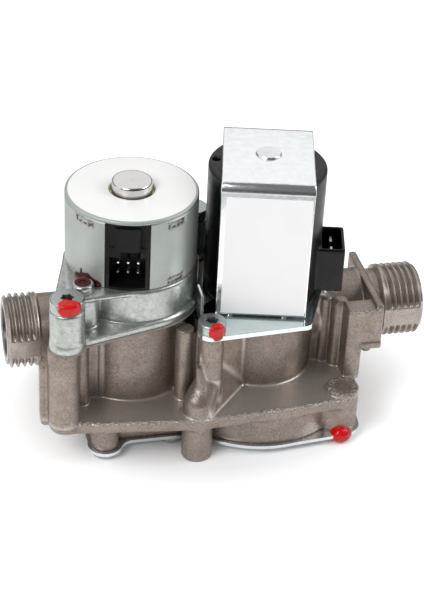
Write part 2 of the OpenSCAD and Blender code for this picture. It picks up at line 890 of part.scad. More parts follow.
module valve_disc() {
    z = valve_seat_z + seal_t;
    color(brass)
        sleeve(coil_axis, valve_disc_r, stem_r + hole_gap, z, z + disc_t);
}

module plunger() {
    color(bright_steel)
        difference() {
            union() {
                post(coil_axis, plunger_r, plunger_z, plunger_top);
                post(coil_axis, stem_r, plunger_z - disc_t, plunger_z + eps);
            }
            post(coil_axis, spring_bore_r, plunger_top - spring_bore_l, plunger_top + 1);
        }
}

module plunger_spring() {
    color(bright_steel)
        spring(
            coil_axis, spring_bore_r - spring_wire, spring_wire,
            plunger_top - spring_bore_l + seat_gap, pole_z - seat_gap, 8
        );
}

module tube_o_ring() {
    color(black_rubber)
        translate([coil_x, 0, tube_seat_z + o_ring_d / 2])
            rotate_extrude() translate([o_ring_mid_r, 0]) circle(o_ring_d / 2);
}

module armature_tube() {
    color(bright_steel)
        difference() {
            union() {
                post(coil_axis, tube_flange_r, right_top - tube_flange_t, right_top);
                post(coil_axis, tube_out_r, right_top - tube_flange_t, yoke_z);
            }
            post(coil_axis, tube_in_r, right_top - tube_flange_t - 1, yoke_z + 1);
        }
}

module fixed_pole() {
    color(bright_steel) {
        post(coil_axis, plunger_r, pole_z, yoke_z);
        post(coil_axis, rivet_neck_r, yoke_z - eps, yoke_top + eps);
        post(coil_axis, rivet_r, yoke_top, yoke_top + rivet_h);
    }
}

module coil_flange_plate() {
    tab_w = 6.3;
    tab_h = 8;
    tab_t = 0.8;
    tab_x = plate_screw[0] - 2.3;
    tab_y = plate_screw[1] + plate_head_r + pass_gap;
    color(zinc_steel) {
        difference() {
            slab(right_top, plate_top) {
                plate_plan();
                translate([tab_x, tab_y]) square([coil_x - tab_x - 3, tab_w]);
            }
            for (p = [plate_screw, plate_screw_back])
                post(p, tower_screw_r + hole_gap, right_top - 1, plate_top + 1);
            post(coil_axis, tube_out_r + hole_gap, right_top - 1, plate_top + 1);
        }
        box(
            [tab_x + 0.1, tab_y + 0.1, right_top + 0.3],
            [tab_x + tab_t, tab_y + tab_w - 0.1, plate_top + tab_h]
        );
    }
}

module coil_flange_screws() {
    color(bright_steel)
        for (p = [plate_screw, plate_screw_back])
            screw(p, plate_head_r, plate_head_h, tower_screw_r, plate_top, plate_t + tower_screw_l);
}

module coil_bobbin() {
    color(black_plastic) {
        sleeve(coil_axis, bobbin_bore_r + bobbin_wall, bobbin_bore_r, bobbin_z, bobbin_top);
        for (z = [bobbin_z, bobbin_top - bobbin_flange_t])
            sleeve(coil_axis, bobbin_r, bobbin_bore_r, z, z + bobbin_flange_t);
    }
}

module coil_winding() {
    color(copper)
        sleeve(
            coil_axis, winding_r, bobbin_bore_r + bobbin_wall,
            bobbin_z + bobbin_flange_t, bobbin_top - bobbin_flange_t
        );
}

// Moulded coil: round with flats under the yoke's legs, and a shroud open at the top
module coil_moulding() {
    flat = yoke_d / 2 - yoke_t - hole_gap;
    color(black_plastic)
        difference() {
            union() {
                intersection() {
                    post(coil_axis, coil_r, plate_top, coil_top);
                    turned(coil_axis)
                        box([-coil_r - 1, -flat, plate_top - 1], [coil_r + 1, flat, coil_top + 1]);
                }
                turned(coil_axis)
                    box([coil_r / 2, -socket_d / 2, socket_z], [socket_reach, socket_d / 2, socket_top]);
            }
            post(coil_axis, bobbin_bore_r, plate_top - 1, coil_top + 1);
            post(coil_axis, bobbin_r, bobbin_z, bobbin_top);
            post(vent_at, vent_r, coil_top - vent_l, coil_top + 1);
            turned(coil_axis)
                box(
                    [socket_root, -socket_d / 2 + socket_wall, socket_z + socket_floor_t],
                    [socket_reach - socket_wall, socket_d / 2 - socket_wall, socket_top + 1]
                );
        }
}

module coil_terminals() {
    z = socket_z + socket_floor_t;
    u = (socket_root + socket_reach - socket_wall) / 2;
    color(bright_steel)
        turned(coil_axis)
            for (v = [-blade_gap / 2, blade_gap / 2])
                box([u - blade_t / 2, v - blade_w / 2, z], [u + blade_t / 2, v + blade_w / 2, z + blade_l]);
}

// Arch of the yoke in its own plane: x is depth, y is height
module yoke_arch(half_d, top, r) {
    translate([-half_d, 0]) square([2 * half_d, top - r]);
    translate([r - half_d, 0]) square([2 * (half_d - r), top]);
    for (s = [-1, 1])
        translate([s * (half_d - r), top - r]) circle(r);
}

module yoke_bracket() {
    leg_h = yoke_top - plate_top;
    color(zinc_steel)
        difference() {
            translate([0, 0, plate_top])
                turned(coil_axis)
                    rotate([90, 0, 90])
                        translate([0, 0, -yoke_w / 2])
                            linear_extrude(yoke_w)
                                difference() {
                                    yoke_arch(yoke_d / 2, leg_h, yoke_bend_r);
                                    translate([0, -eps])
                                        yoke_arch(
                                            yoke_d / 2 - yoke_t, leg_h - yoke_t + eps,
                                            yoke_bend_r - yoke_t
                                        );
                                }
            post(coil_axis, rivet_neck_r + hole_gap, yoke_z - 1, yoke_top + 1);
        }
}

module yoke_label() {
    z0 = plate_top + label_gap;
    z1 = yoke_top - yoke_bend_r - label_gap;
    color(label_white)
        turned(coil_axis)
            box(
                [label_left - yoke_w / 2, -yoke_d / 2 - label_t, z0],
                [yoke_w / 2 - label_right, -yoke_d / 2, z1]
            );
}

module regulator_gasket() {
    color(black_rubber)
        difference() {
            foot_sheet(left_top, housing_z);
            post(can_axis, gasket_bore_r, left_top - 1, housing_z + 1);
            for (p = [housing_boss, housing_boss_back])
                post(p, tower_screw_r + hole_gap, left_top - 1, housing_z + 1);
        }
}

module regulator_diaphragm() {
    color(black_rubber)
        post(can_axis, diaphragm2_r, left_top, housing_z);
}

module regulator_plate() {
    color(brass)
        sleeve(can_axis, regulator_plate_r, rod_r + hole_gap, housing_z, housing_z + regulator_plate_t);
}

module regulator_spring() {
    color(bright_steel)
        spring(
            can_axis, regulator_spring_r, spring_wire,
            housing_z + regulator_plate_t + seat_gap, housing_top - housing_roof_t - seat_gap, 5
        );
}

module servo_nozzle() {
    color(brass)
        sleeve(can_axis, nozzle_r, 0.8, pipe_h + bore_r - 0.4, nozzle_top);
}

// Regulator housing: round wall on a foot flange, a flat roof drawn out to the can screw, two bosses
module regulator_housing() {
    roof_z = housing_top - housing_roof_t;
    column = can_axis + (can_screw_at - can_axis) * 1.02;
    color(cast_zinc)
        difference() {
            union() {
                foot_sheet(housing_z, housing_z + foot_t);
                post(can_axis, housing_r, housing_z, housing_top);
                post(column, column_r - 0.2, housing_z, housing_top);
                slab(roof_z, housing_top) ear(column, can_head_r + 0.3, can_axis, housing_r - 1);
                slab(housing_z, housing_top) belt(column, can_screw_r, can_axis, can_screw_r);
                for (p = [housing_boss, housing_boss_back])
                    post(p, boss_r, housing_z, housing_top);
                slab(housing_z, housing_top)
                    polygon([
                        housing_boss, on_circle(housing_boss, boss_r - 0.2, 142),
                        on_circle(can_axis, housing_r - 0.2, 164), can_axis
                    ]);
                slab(housing_z, housing_top)
                    belt(housing_boss_back, boss_r - 1.2, can_axis, boss_r);
            }
            post(can_axis, spring_chamber_r, housing_z - 1, roof_z);
            post(can_axis, rod_r + pass_gap, roof_z - 1, housing_top + 1);
            for (p = [housing_boss, housing_boss_back])
                post(p, tower_screw_r + hole_gap, housing_z - 1, housing_top + 1);
            post(can_screw_at, can_screw_r + hole_gap, housing_top - can_screw_l - 1, housing_top + 1);
        }
}

module housing_screws() {
    color(bright_steel)
        for (p = [housing_boss, housing_boss_back])
            screw(
                p, housing_head_r, housing_head_h, tower_screw_r,
                housing_top, housing_h + gasket_t + tower_screw_l
            );
}

module can_base() {
    color(zinc_steel)
        difference() {
            sleeve(can_axis, base_r - hole_gap, rod_r + pass_gap, housing_top, spool_z);
            turned(can_axis)
                box(
                    [-plug_w / 2 - hole_gap, -can_r, housing_top - 1],
                    [plug_w / 2 + hole_gap, hole_gap - plug_back, spool_z + 1]
                );
        }
}

// Rolled can with an open seam, a foot tab under the can screw and staked lugs
module steel_can() {
    color(can_steel)
        difference() {
            union() {
                post(can_axis, can_r, housing_top, can_top);
                slab(housing_top, housing_top + can_tab_t)
                    belt(can_screw_at, can_head_r - 0.3, can_axis, can_head_r);
            }
            post(can_axis, base_r, housing_top - 1, can_top + 1);
            turned(can_axis)
                box([-seam_w / 2, -can_r - 1, housing_top - 1], [seam_w / 2, 0, can_top + 1]);
            post(can_screw_at, can_screw_r + hole_gap, housing_top - 1, can_top);
            for (k = stakes)
                translate([can_axis[0], can_axis[1], k[1]])
                    rotate([0, 0, k[0]])
                        box(
                            [can_r - stake_deep, -stake_w / 2, -stake_t / 2],
                            [can_r + 1, stake_w / 2, stake_t / 2]
                        );
        }
}

module can_lid() {
    color(can_steel)
        sleeve(can_axis, can_r, lid_hole_r, can_top, lid_top);
}

module lid_label() {
    color(label_white)
        sleeve(can_axis, label_r, lid_hole_r + 0.4, lid_top, lid_top + label_t);
}

module can_screw() {
    color(bright_steel)
        screw(
            can_screw_at, can_head_r, can_screw_h, can_screw_r,
            housing_top + can_tab_t, can_tab_t + can_screw_l
        );
}

// Spool of the modulating coil with its socket and its latch tab in the can's seam
module modulator_bobbin() {
    plug_face = can_r - 0.3;
    color(black_plastic)
        difference() {
            union() {
                sleeve(can_axis, spool_r, guide_r + hole_gap, spool_z, can_top);
                for (z = [spool_z, can_top - spool_flange_t])
                    sleeve(can_axis, base_r - hole_gap, guide_r + hole_gap, z, z + spool_flange_t);
                intersection() {
                    turned(can_axis)
                        box([-plug_w / 2, -can_r, plug_z], [plug_w / 2, -plug_back, can_top]);
                    post(can_axis, plug_face, plug_z, can_top);
                }
            }
            turned(can_axis) {
                box(
                    [-plug_w / 2 + plug_wall, -can_r - 1, plug_z + plug_floor_t],
                    [plug_w / 2 - plug_wall, -can_r + plug_deep, plug_z + plug_h]
                );
                box(
                    [-plug_w / 2 + plug_wall + 3, -can_r - 1, plug_z + plug_h - eps],
                    [plug_w / 2 - plug_wall - 1.5, -can_r + plug_deep, plug_z + plug_h + 1.8]
                );
                difference() {
                    box(
                        [-plug_w, -can_r - 1, tab_z],
                        [plug_w, plug_step - plug_face, can_top + 1]
                    );
                    box(
                        [-tab_half_w, -can_r - 2, tab_z - 1],
                        [tab_half_w, plug_step - plug_face + 1, tab_top]
                    );
                }
            }
        }
}

module modulator_winding() {
    z0 = spool_z + spool_flange_t;
    z1 = can_top - spool_flange_t;
    color(copper)
        difference() {
            sleeve(can_axis, modulator_r, spool_r, z0, z1);
            turned(can_axis)
                box([-plug_w / 2 - 0.1, -can_r, z0 - 1], [plug_w / 2 + 0.1, -plug_back + 0.1, z1 + 1]);
        }
}

module modulator_pins() {
    y = -can_r + plug_deep;
    color(brass)
        turned(can_axis)
            for (i = [-1, 0, 1], j = [0, 1])
                translate([i * pin_pitch - pin_w / 2, y - pin_l, pin_z + j * pin_rise - pin_w / 2])
                    cube([pin_w, pin_l, pin_w]);
}

module core_guide() {
    color(brass)
        sleeve(can_axis, guide_r, core_r + run_gap, spool_z, can_top);
}

module regulator_core() {
    color(bright_steel) {
        post(can_axis, core_r, core_z, core_top - core_edge);
        translate([can_x, 0, core_top - core_edge - eps])
            cylinder(h = core_edge + eps, r1 = core_r, r2 = core_r - core_edge);
        post(can_axis, rod_r, housing_z, core_z + eps);
    }
}

// Strainer: a pressed disc with a field of round holes
module inlet_strainer() {
    n = 3;
    color(bright_steel)
        translate([strainer_x, pipe_y, pipe_h])
            rotate([0, 90, 0])
                difference() {
                    cylinder(h = strainer_t, r = bore_r - hole_gap);
                    for (i = [-n:n], j = [-n:n])
                        let (p = strainer_pitch * [i + j / 2, j * sin(60)])
                        if (norm(p) < bore_r - 1.6)
                            translate([p[0], p[1], -1])
                                cylinder(h = strainer_t + 2, r = strainer_hole_r, $fn = 24);
                }
}

module test_point_screws() {
    color(brass)
        for (x = test_x)
            translate([x, test_end - test_bore_l, test_z])
                rotate([-90, 0, 0])
                    difference() {
                        cylinder(h = test_screw_l, r = test_bore_r - hole_gap);
                        translate([-test_bore_r, -test_slot_w / 2, test_screw_l - test_slot_l])
                            cube([2 * test_bore_r, test_slot_w, 2 * test_slot_l]);
                    }
}

main_body();
bottom_cover();
cover_screws();
main_diaphragm();
diaphragm_plate();
main_valve_disc();
main_valve_seal();
main_valve_spring();
seat_insert();
valve_seal();
valve_disc();
plunger();
plunger_spring();
tube_o_ring();
armature_tube();
fixed_pole();
coil_flange_plate();
coil_flange_screws();
coil_bobbin();
coil_winding();
coil_moulding();
coil_terminals();
yoke_bracket();
yoke_label();
regulator_gasket();
regulator_diaphragm();
regulator_plate();
regulator_spring();
servo_nozzle();
regulator_housing();
housing_screws();
can_base();
steel_can();
can_lid();
lid_label();
can_screw();
modulator_bobbin();
modulator_winding();
modulator_pins();
core_guide();
regulator_core();
inlet_strainer();
test_point_screws();
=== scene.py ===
"""Gas control valve: the looks of its castings, threads, can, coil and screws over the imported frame.

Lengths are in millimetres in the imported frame, and become metres where a mesh is made.
"""

import math

import bmesh
import bpy
import numpy as np
from mathutils import Matrix, Vector


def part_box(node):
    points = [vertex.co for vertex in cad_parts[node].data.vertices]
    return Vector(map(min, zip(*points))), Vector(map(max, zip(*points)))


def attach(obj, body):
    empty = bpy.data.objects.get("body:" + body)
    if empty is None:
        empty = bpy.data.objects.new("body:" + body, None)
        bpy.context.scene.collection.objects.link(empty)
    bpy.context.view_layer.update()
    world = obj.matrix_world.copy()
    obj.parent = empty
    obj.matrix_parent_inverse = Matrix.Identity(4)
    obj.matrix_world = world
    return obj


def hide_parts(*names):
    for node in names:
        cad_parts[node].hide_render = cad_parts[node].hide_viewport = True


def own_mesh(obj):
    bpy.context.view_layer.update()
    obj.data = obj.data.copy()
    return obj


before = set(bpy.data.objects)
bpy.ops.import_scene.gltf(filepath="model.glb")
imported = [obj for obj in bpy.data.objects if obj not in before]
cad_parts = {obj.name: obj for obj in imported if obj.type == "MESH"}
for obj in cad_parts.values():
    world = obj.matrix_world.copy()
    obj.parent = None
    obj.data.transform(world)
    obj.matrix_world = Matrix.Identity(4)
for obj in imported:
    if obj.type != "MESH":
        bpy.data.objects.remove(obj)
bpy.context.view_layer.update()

MM = 0.001


def cad(node):
    """Lowest and highest corner of a frame node, in millimetres."""
    low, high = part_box(node)
    return np.array(low) / MM, np.array(high) / MM


# Places and levels, read from the frame
body_low, body_high = cad("main_body")
lid_low, lid_high = cad("can_lid")
coil_low, coil_high = cad("coil_winding")
moulding_low, moulding_high = cad("coil_moulding")
housing_low, housing_high = cad("regulator_housing")
plate_screw_low, plate_screw_high = cad("coil_flange_screws")
housing_screw_low, housing_screw_high = cad("housing_screws")
can_screw_low, can_screw_high = cad("can_screw")
cover_low, cover_high = cad("bottom_cover")
cover_screw_low, cover_screw_high = cad("cover_screws")
core_low, core_high = cad("regulator_core")
pole_low, pole_high = cad("fixed_pole")
strainer_low, strainer_high = cad("inlet_strainer")

half_l = body_high[0]
left_top = body_high[2]
right_top = cad("coil_flange_plate")[0][2]
can_at = (lid_low[:2] + lid_high[:2]) / 2
can_r = (lid_high[0] - lid_low[0]) / 2
can_top = lid_low[2]
lid_top = lid_high[2]
housing_z = housing_low[2]
housing_top = housing_high[2]
coil_at = (coil_low[:2] + coil_high[:2]) / 2
plate_top = moulding_low[2]
coil_top = moulding_high[2]
yoke_top = cad("yoke_bracket")[1][2]
pipe_at = (strainer_low[1:] + strainer_high[1:]) / 2
cover_z = cover_low[2]
cover_top = cover_high[2]

# Sizes of forms inside one node
turn = math.radians(-13.3)
rim_z, shelf_z = 11.1, 14.7
shell_r = 27.2
left_tower_r = 16.8
right_tower_r = 15.5
thread_r = 10.478
thread_pitch = 1.814
thread_depth = 1.162
thread_flat = 10.1
bore_r = 7.1
inlet_thread_l, outlet_thread_l = 11.7, 9.0
flange_x = half_l - 15.2
housing_head_r, plate_head_r, can_head_r, cover_head_r = 4.6, 3.9, 3.0, 3.7
housing_boss = housing_screw_low[:2] + housing_head_r
housing_boss_back = housing_screw_high[:2] - housing_head_r
plate_screw = plate_screw_low[:2] + plate_head_r
plate_screw_back = 2 * coil_at - plate_screw
can_screw = (can_screw_low[:2] + can_screw_high[:2]) / 2
cover_corner = cover_screw_high[:2] - cover_head_r
cover_lobe = np.array([cover_screw_low[0] + cover_head_r, 19.6])
corner_r = 4.6
rim_left, rim_front = -46.6, 28.3
corner_pad = 1.2
lug_at = np.array([-9.8, -24.2])
lug_r = 4.3
boss_r = 4.7
can_wall = 1.2
yoke_t = 1.7
yoke_half = 17.0
pole_z = pole_low[2]
seam_half = 6.1


# Forms as distances on a grid of points


class Field:
    """Grid of points over a box. Its methods give each point's distance to a form, negative inside."""

    def __init__(self, low, high, cell):
        self.low = np.array(low, np.float32)
        self.cell = cell
        counts = np.ceil((np.array(high) - self.low) / cell).astype(int) + 1
        axes = [self.low[i] + cell * np.arange(counts[i], dtype=np.float32) for i in range(3)]
        self.x = axes[0][:, None, None]
        self.y = axes[1][None, :, None]
        self.z = axes[2][None, None, :]

    def disc(self, at, r):
        """Plan of a round post: the way from its axis less its radius."""
        return np.hypot(self.x - at[0], self.y - at[1]) - r

    def belt(self, a, ra, b, rb):
        """Plan of a belt round two discs: each point is measured from the nearer disc or straight run."""
        a, b = np.array(a, float), np.array(b, float)
        span = np.linalg.norm(b - a)
        along = (b - a) / span
        lean = (ra - rb) / span
        tilt = math.sqrt(1 - lean * lean)
        px, py = self.x - a[0], self.y - a[1]
        run = px * along[0] + py * along[1]
        side = np.abs(py * along[0] - px * along[1])
        place = run * tilt - side * lean
        straight = side * tilt + run * lean - ra
        first = np.hypot(run, side) - ra
        last = np.hypot(run - span, side) - rb
        return np.where(place < 0, first, np.where(place > tilt * span, last, straight))

    def outline(self, points):
        """Plan of a polygon: the least way to its sides, signed by how often a ray crosses them."""
        points = np.array(points, float)
        nearest = np.full((self.x.size, self.y.size, 1), 1e9, np.float32)
        inside = np.zeros(nearest.shape, bool)
        for p, q in zip(points, np.roll(points, -1, 0)):
            ex, ey = q - p
            wx, wy = self.x - p[0], self.y - p[1]
            t = np.clip((wx * ex + wy * ey) / (ex * ex + ey * ey), 0, 1)
            nearest = np.minimum(nearest, np.hypot(wx - t * ex, wy - t * ey))
            if ey:
                crosses = (self.y > min(p[1], q[1])) & (self.y <= max(p[1], q[1]))
                inside ^= crosses & (wx < wy * ex / ey)
        return np.where(inside, -nearest, nearest)

    def block(self, x0, x1, y0, y1, corner=0.0):
        """Plan of a rectangle with round corners."""
        qx = np.abs(self.x - (x0 + x1) / 2) - (x1 - x0) / 2 + corner
        qy = np.abs(self.y - (y0 + y1) / 2) - (y1 - y0) / 2 + corner
        return rounded(qx, qy, corner)

    def upright(self, plan, z0, z1, edge=0.0):
        """A plan carried from one height to another, with its top and bottom edges rounded."""
        return rounded(plan + edge, np.maximum(z0 - self.z, self.z - z1) + edge, edge)

    def post(self, at, r, z0, z1, edge=0.0):
        """Round post between two heights."""
        return self.upright(self.disc(at, r), z0, z1, edge)

    def box(self, low, high, edge=0.0):
        """Box with round edges."""
        return self.upright(self.block(low[0], high[0], low[1], high[1], edge), low[2], high[2], edge)

    def pipe(self, r, x0, x1):
        """Round bar on the pipe axis."""
        side = np.hypot(self.y - pipe_at[0], self.z - pipe_at[1]) - r
        return rounded(side, np.maximum(x0 - self.x, self.x - x1), 0)

    def nipple(self, x, z, r, y0, y1, edge=0.0):
        """Round bar along the depth."""
        side = np.hypot(self.x - x, self.z - z) - r
        return rounded(side + edge, np.maximum(y0 - self.y, self.y - y1) + edge, edge)

    def taper(self, a, ra, b, rb):
        """Bar with ball ends: the way to the nearest point of its axis less the radius there, which runs evenly
        from one end's to the other's."""
        a, d = np.array(a, float), np.array(b, float) - np.array(a, float)
        px, py, pz = self.x - a[0], self.y - a[1], self.z - a[2]
        t = np.clip((px * d[0] + py * d[1] + pz * d[2]) / (d @ d), 0, 1)
        axis = np.sqrt((px - t * d[0]) ** 2 + (py - t * d[1]) ** 2 + (pz - t * d[2]) ** 2)
        return axis - ra - (rb - ra) * t

    def lens(self, at, sizes):
        """Ellipsoid, nearly true to distance close to its skin."""
        q = [(g - c) / s for g, c, s in zip((self.x, self.y, self.z), at, sizes)]
        k = np.sqrt(q[0] ** 2 + q[1] ** 2 + q[2] ** 2)
        return (k - 1) * min(sizes)

    def turned(self, at):
        """Sideways and depth coordinates in the frame of the yoke and the seam."""
        px, py = self.x - at[0], self.y - at[1]
        c, s = math.cos(turn), math.sin(turn)
        return px * c + py * s, py * c - px * s


def rounded(a, b, r):
    """Where two distances both hold: the inner way, or round the edge between them, grown by a radius."""
    return np.minimum(np.maximum(a, b), 0) + np.hypot(np.maximum(a, 0), np.maximum(b, 0)) - r


def cast(a, b, fillet):
    """Two forms cast in one, with a hollow fillet of that radius in the corner between them."""
    corner = np.hypot(np.maximum(fillet - a, 0), np.maximum(fillet - b, 0))
    return np.maximum(fillet, np.minimum(a, b)) - corner


def near(distance, width):
    """One at no distance, falling off smoothly over a width."""
    return np.exp(-((distance / width) ** 2))


def carved(a, b):
    """One form less another."""
    return np.maximum(a, -b)


def sample(field, values, points):
    """Values of a grid at points, straight between the eight nearest grid points."""
    g = (points - field.low) / field.cell
    shape = np.array(values.shape)
    i = np.clip(np.floor(g).astype(int), 0, np.maximum(shape - 2, 0))
    f = np.clip(g - i, 0, 1)
    total = np.zeros(len(points), np.float32)
    for corner in np.ndindex(2, 2, 2):
        c = np.array(corner)
        at = np.minimum(i + c, shape - 1)
        weight = np.prod(np.where(c, f, 1 - f), axis=1)
        total += weight * values[at[:, 0], at[:, 1], at[:, 2]]
    return total


def skin(field, d):
    """Skin of a form: a point in each cell that the zero distance crosses, at the mean of the crossings
    on the cell's edges, and a four-sided face across each grid line that changes sign."""
    inside = d < 0
    counts = sum(
        inside[a : a - 1 or None, b : b - 1 or None, c : c - 1 or None].astype(np.int8)
        for a in (0, 1) for b in (0, 1) for c in (0, 1)
    )
    active = (counts > 0) & (counts < 8)
    cells = np.argwhere(active)
    number = np.full(active.shape, -1, np.int32)
    number[active] = np.arange(len(cells))
    total = np.zeros((len(cells), 3), np.float32)
    hits = np.zeros(len(cells), np.float32)
    for axis in range(3):
        for corner in np.ndindex(2, 2):
            a = np.insert(np.array(corner), axis, 0)
            b = np.insert(np.array(corner), axis, 1)
            da, db = d[tuple((cells + a).T)], d[tuple((cells + b).T)]
            cross = (da < 0) != (db < 0)
            t = np.where(cross, da / np.where(cross, da - db, 1), 0)
            total += np.where(cross[:, None], a + t[:, None] * (b - a), 0)
            hits += cross
    points = field.low + field.cell * (cells + total / hits[:, None])
    faces = []
    for axis in range(3):
        s = np.moveaxis(inside, axis, 0)
        n = np.moveaxis(number, axis, 0)
        change = s[:-1, 1:-1, 1:-1] != s[1:, 1:-1, 1:-1]
        at = np.argwhere(change)
        i, j, k = at.T
        quad = np.stack([n[i, j, k], n[i, j + 1, k], n[i, j + 1, k + 1], n[i, j, k + 1]], 1)
        leaves = s[:-1, 1:-1, 1:-1][change]
        if axis == 1:
            leaves = ~leaves
        faces.append(np.where(leaves[:, None], quad, quad[:, ::-1]))
    return points, np.concatenate(faces)


def grain(points, size, seed):
    """Even random lumps of about that size: values on a repeating lattice, blended smoothly between."""
    lattice = np.random.default_rng(seed).uniform(-1, 1, (32, 32, 32)).astype(np.float32)
    g = points / size
    i = np.floor(g).astype(int)
    f = g - i
    f = f * f * (3 - 2 * f)
    total = np.zeros(len(points), np.float32)
    for corner in np.ndindex(2, 2, 2):
        c = np.array(corner)
        at = (i + c) % 32
        total += np.prod(np.where(c, f, 1 - f), axis=1) * lattice[at[:, 0], at[:, 1], at[:, 2]]
    return total


# Meshes


def in_scene(name, data):
    """Object with its data, linked into the scene."""
    obj = bpy.data.objects.new(name, data)
    bpy.context.scene.collection.objects.link(obj)
    return obj


def piece(name, points, faces, finish, node=None):
    """Object from an array of points in millimetres and an array of faces with equal side counts."""
    mesh = bpy.data.meshes.new(name)
    faces = np.asarray(faces, np.int32)
    sides = faces.shape[1]
    mesh.vertices.add(len(points))
    mesh.vertices.foreach_set("co", (np.asarray(points, np.float32) * MM).ravel())
    mesh.loops.add(faces.size)
    mesh.loops.foreach_set("vertex_index", faces.ravel())
    mesh.polygons.add(len(faces))
    mesh.polygons.foreach_set("loop_start", np.arange(len(faces), dtype=np.int32) * sides)
    mesh.polygons.foreach_set("use_smooth", np.ones(len(faces), bool))
    mesh.update(calc_edges=True)
    return placed(name, mesh, finish, node)


def placed(name, mesh, finish, node, body="valve", sharp=None):
    """Puts a finished mesh in the scene, on its body, in its finish's slot and in place of its frame node."""
    mesh.validate()
    if sharp is not None:
        mesh.set_sharp_from_angle(angle=math.radians(sharp))
    obj = in_scene(name, mesh)
    mesh.materials.append(finish)
    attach(obj, body)
    if node:
        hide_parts(node)
    return obj


def welded(mesh):
    """Merges points that lie on each other, drops faces without area and turns the faces outwards."""
    work = bmesh.new()
    work.from_mesh(mesh)
    bmesh.ops.remove_doubles(work, verts=work.verts, dist=1e-7)
    bmesh.ops.dissolve_degenerate(work, edges=work.edges, dist=1e-8)
    bmesh.ops.recalc_face_normals(work, faces=work.faces)
    work.to_mesh(mesh)
    work.free()


def wrapped(name, grid, finish, node=None, body="valve", around=True, sharp=40):
    """Object from a grid of points: faces between neighbours, joined round the second direction, and round the
    first too unless it ends. Each end gets a flat face."""
    nu, nv = grid.shape[:2]
    u, v = np.meshgrid(np.arange(nu if around else nu - 1), np.arange(nv), indexing="ij")
    u, v = u.ravel(), v.ravel()
    u1, v1 = (u + 1) % nu, (v + 1) % nv
    faces = np.stack([u * nv + v, u1 * nv + v, u1 * nv + v1, u * nv + v1], 1)
    ends = []
    if not around:
        ends = [np.arange(nv)[::-1].tolist(), (np.arange(nv) + (nu - 1) * nv).tolist()]
    mesh = bpy.data.meshes.new(name)
    mesh.from_pydata((grid.reshape(-1, 3) * MM).tolist(), [], faces.tolist() + ends)
    welded(mesh)
    mesh.polygons.foreach_set("use_smooth", np.ones(len(mesh.polygons), bool))
    return placed(name, mesh, finish, node, body, sharp)


def eased(corners, steps=6):
    """Line through corners given as (across, up, radius): each corner is replaced by an arc of its radius."""
    p = np.array([c[:2] for c in corners], float)
    r = np.array([c[2] for c in corners], float)
    before, after = np.roll(p, 1, 0) - p, np.roll(p, -1, 0) - p
    before /= np.linalg.norm(before, axis=1)[:, None]
    after /= np.linalg.norm(after, axis=1)[:, None]
    half = np.arccos(np.clip((before * after).sum(1), -1, 1)) / 2
    reach = r / np.tan(half)
    t = np.linspace(0, 1, steps)[None, :, None]
    start = (p + before * reach[:, None])[:, None]
    end = (p + after * reach[:, None])[:, None]
    corner = p[:, None]
    weight = np.sin(half)[:, None, None]
    bow = start * (1 - t) ** 2 + corner * 2 * t * (1 - t) * weight + end * t**2
    bow = bow / ((1 - t) ** 2 + 2 * t * (1 - t) * weight + t**2)
    return bow.reshape(-1, 2)


def noted(obj, name, values):
    """Attribute on a piece's points, one value for each."""
    attribute = obj.data.attributes.new(name, "FLOAT", "POINT")
    attribute.data.foreach_set("value", values.ravel().astype(np.float32))


def tint(obj, name, level):
    """Attribute on a piece's points, worked out from where they lie, in millimetres."""
    spots = np.empty(len(obj.data.vertices) * 3, np.float32)
    obj.data.vertices.foreach_get("co", spots)
    noted(obj, name, level(*(spots.reshape(-1, 3) / MM).T))


def turned_piece(name, at, corners, finish, node=None, body="valve", segments=96, shape=None):
    """Turned part: a closed line of radius and height carried round an upright axis. A shape may change
    the height at each radius and angle."""
    line = eased(corners)
    a = np.linspace(0, 2 * np.pi, segments, endpoint=False)[:, None]
    r = np.maximum(line[None, :, 0], 0)
    z = line[None, :, 1] + 0 * a
    if shape is not None:
        z = shape(r, a, z)
    grid = np.stack([at[0] + r * np.cos(a), at[1] + r * np.sin(a), z], 2)
    return wrapped(name, grid, finish, node, body)


def softened(name, node, finish, width):
    """Copy of a frame node, merged to plain faces, with its sharp edges bevelled."""
    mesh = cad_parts[node].data.copy()
    mesh.name = name
    mesh.materials.clear()
    work = bmesh.new()
    work.from_mesh(mesh)
    bmesh.ops.remove_doubles(work, verts=work.verts, dist=1e-6)
    bmesh.ops.dissolve_limit(work, angle_limit=math.radians(0.5), verts=work.verts, edges=work.edges)
    work.to_mesh(mesh)
    work.free()
    mesh.polygons.foreach_set("use_smooth", np.ones(len(mesh.polygons), bool))
    obj = placed(name, mesh, finish, node, sharp=35)
    bevel = obj.modifiers.new("edges", "BEVEL")
    bevel.width = width * MM
    bevel.segments = 2
    bevel.limit_method = "ANGLE"
    bevel.angle_limit = math.radians(40)
    bevel.harden_normals = True
    return obj


# Finishes


def wired(tree, kind, inputs, operation=None):
    """New shader node, with each of its inputs set to a value or joined to another node's output."""
    node = tree.nodes.new("ShaderNode" + kind)
    if operation:
        node.operation = operation
    for key, value in inputs.items():
        if isinstance(value, bpy.types.NodeSocket):
            tree.links.new(value, node.inputs[key])
        else:
            node.inputs[key].default_value = value
    return node


def marked(tree, attribute):
    """Level of an attribute on a piece's points."""
    mark = tree.nodes.new("ShaderNodeAttribute")
    mark.attribute_name = attribute
    return mark.outputs["Fac"]


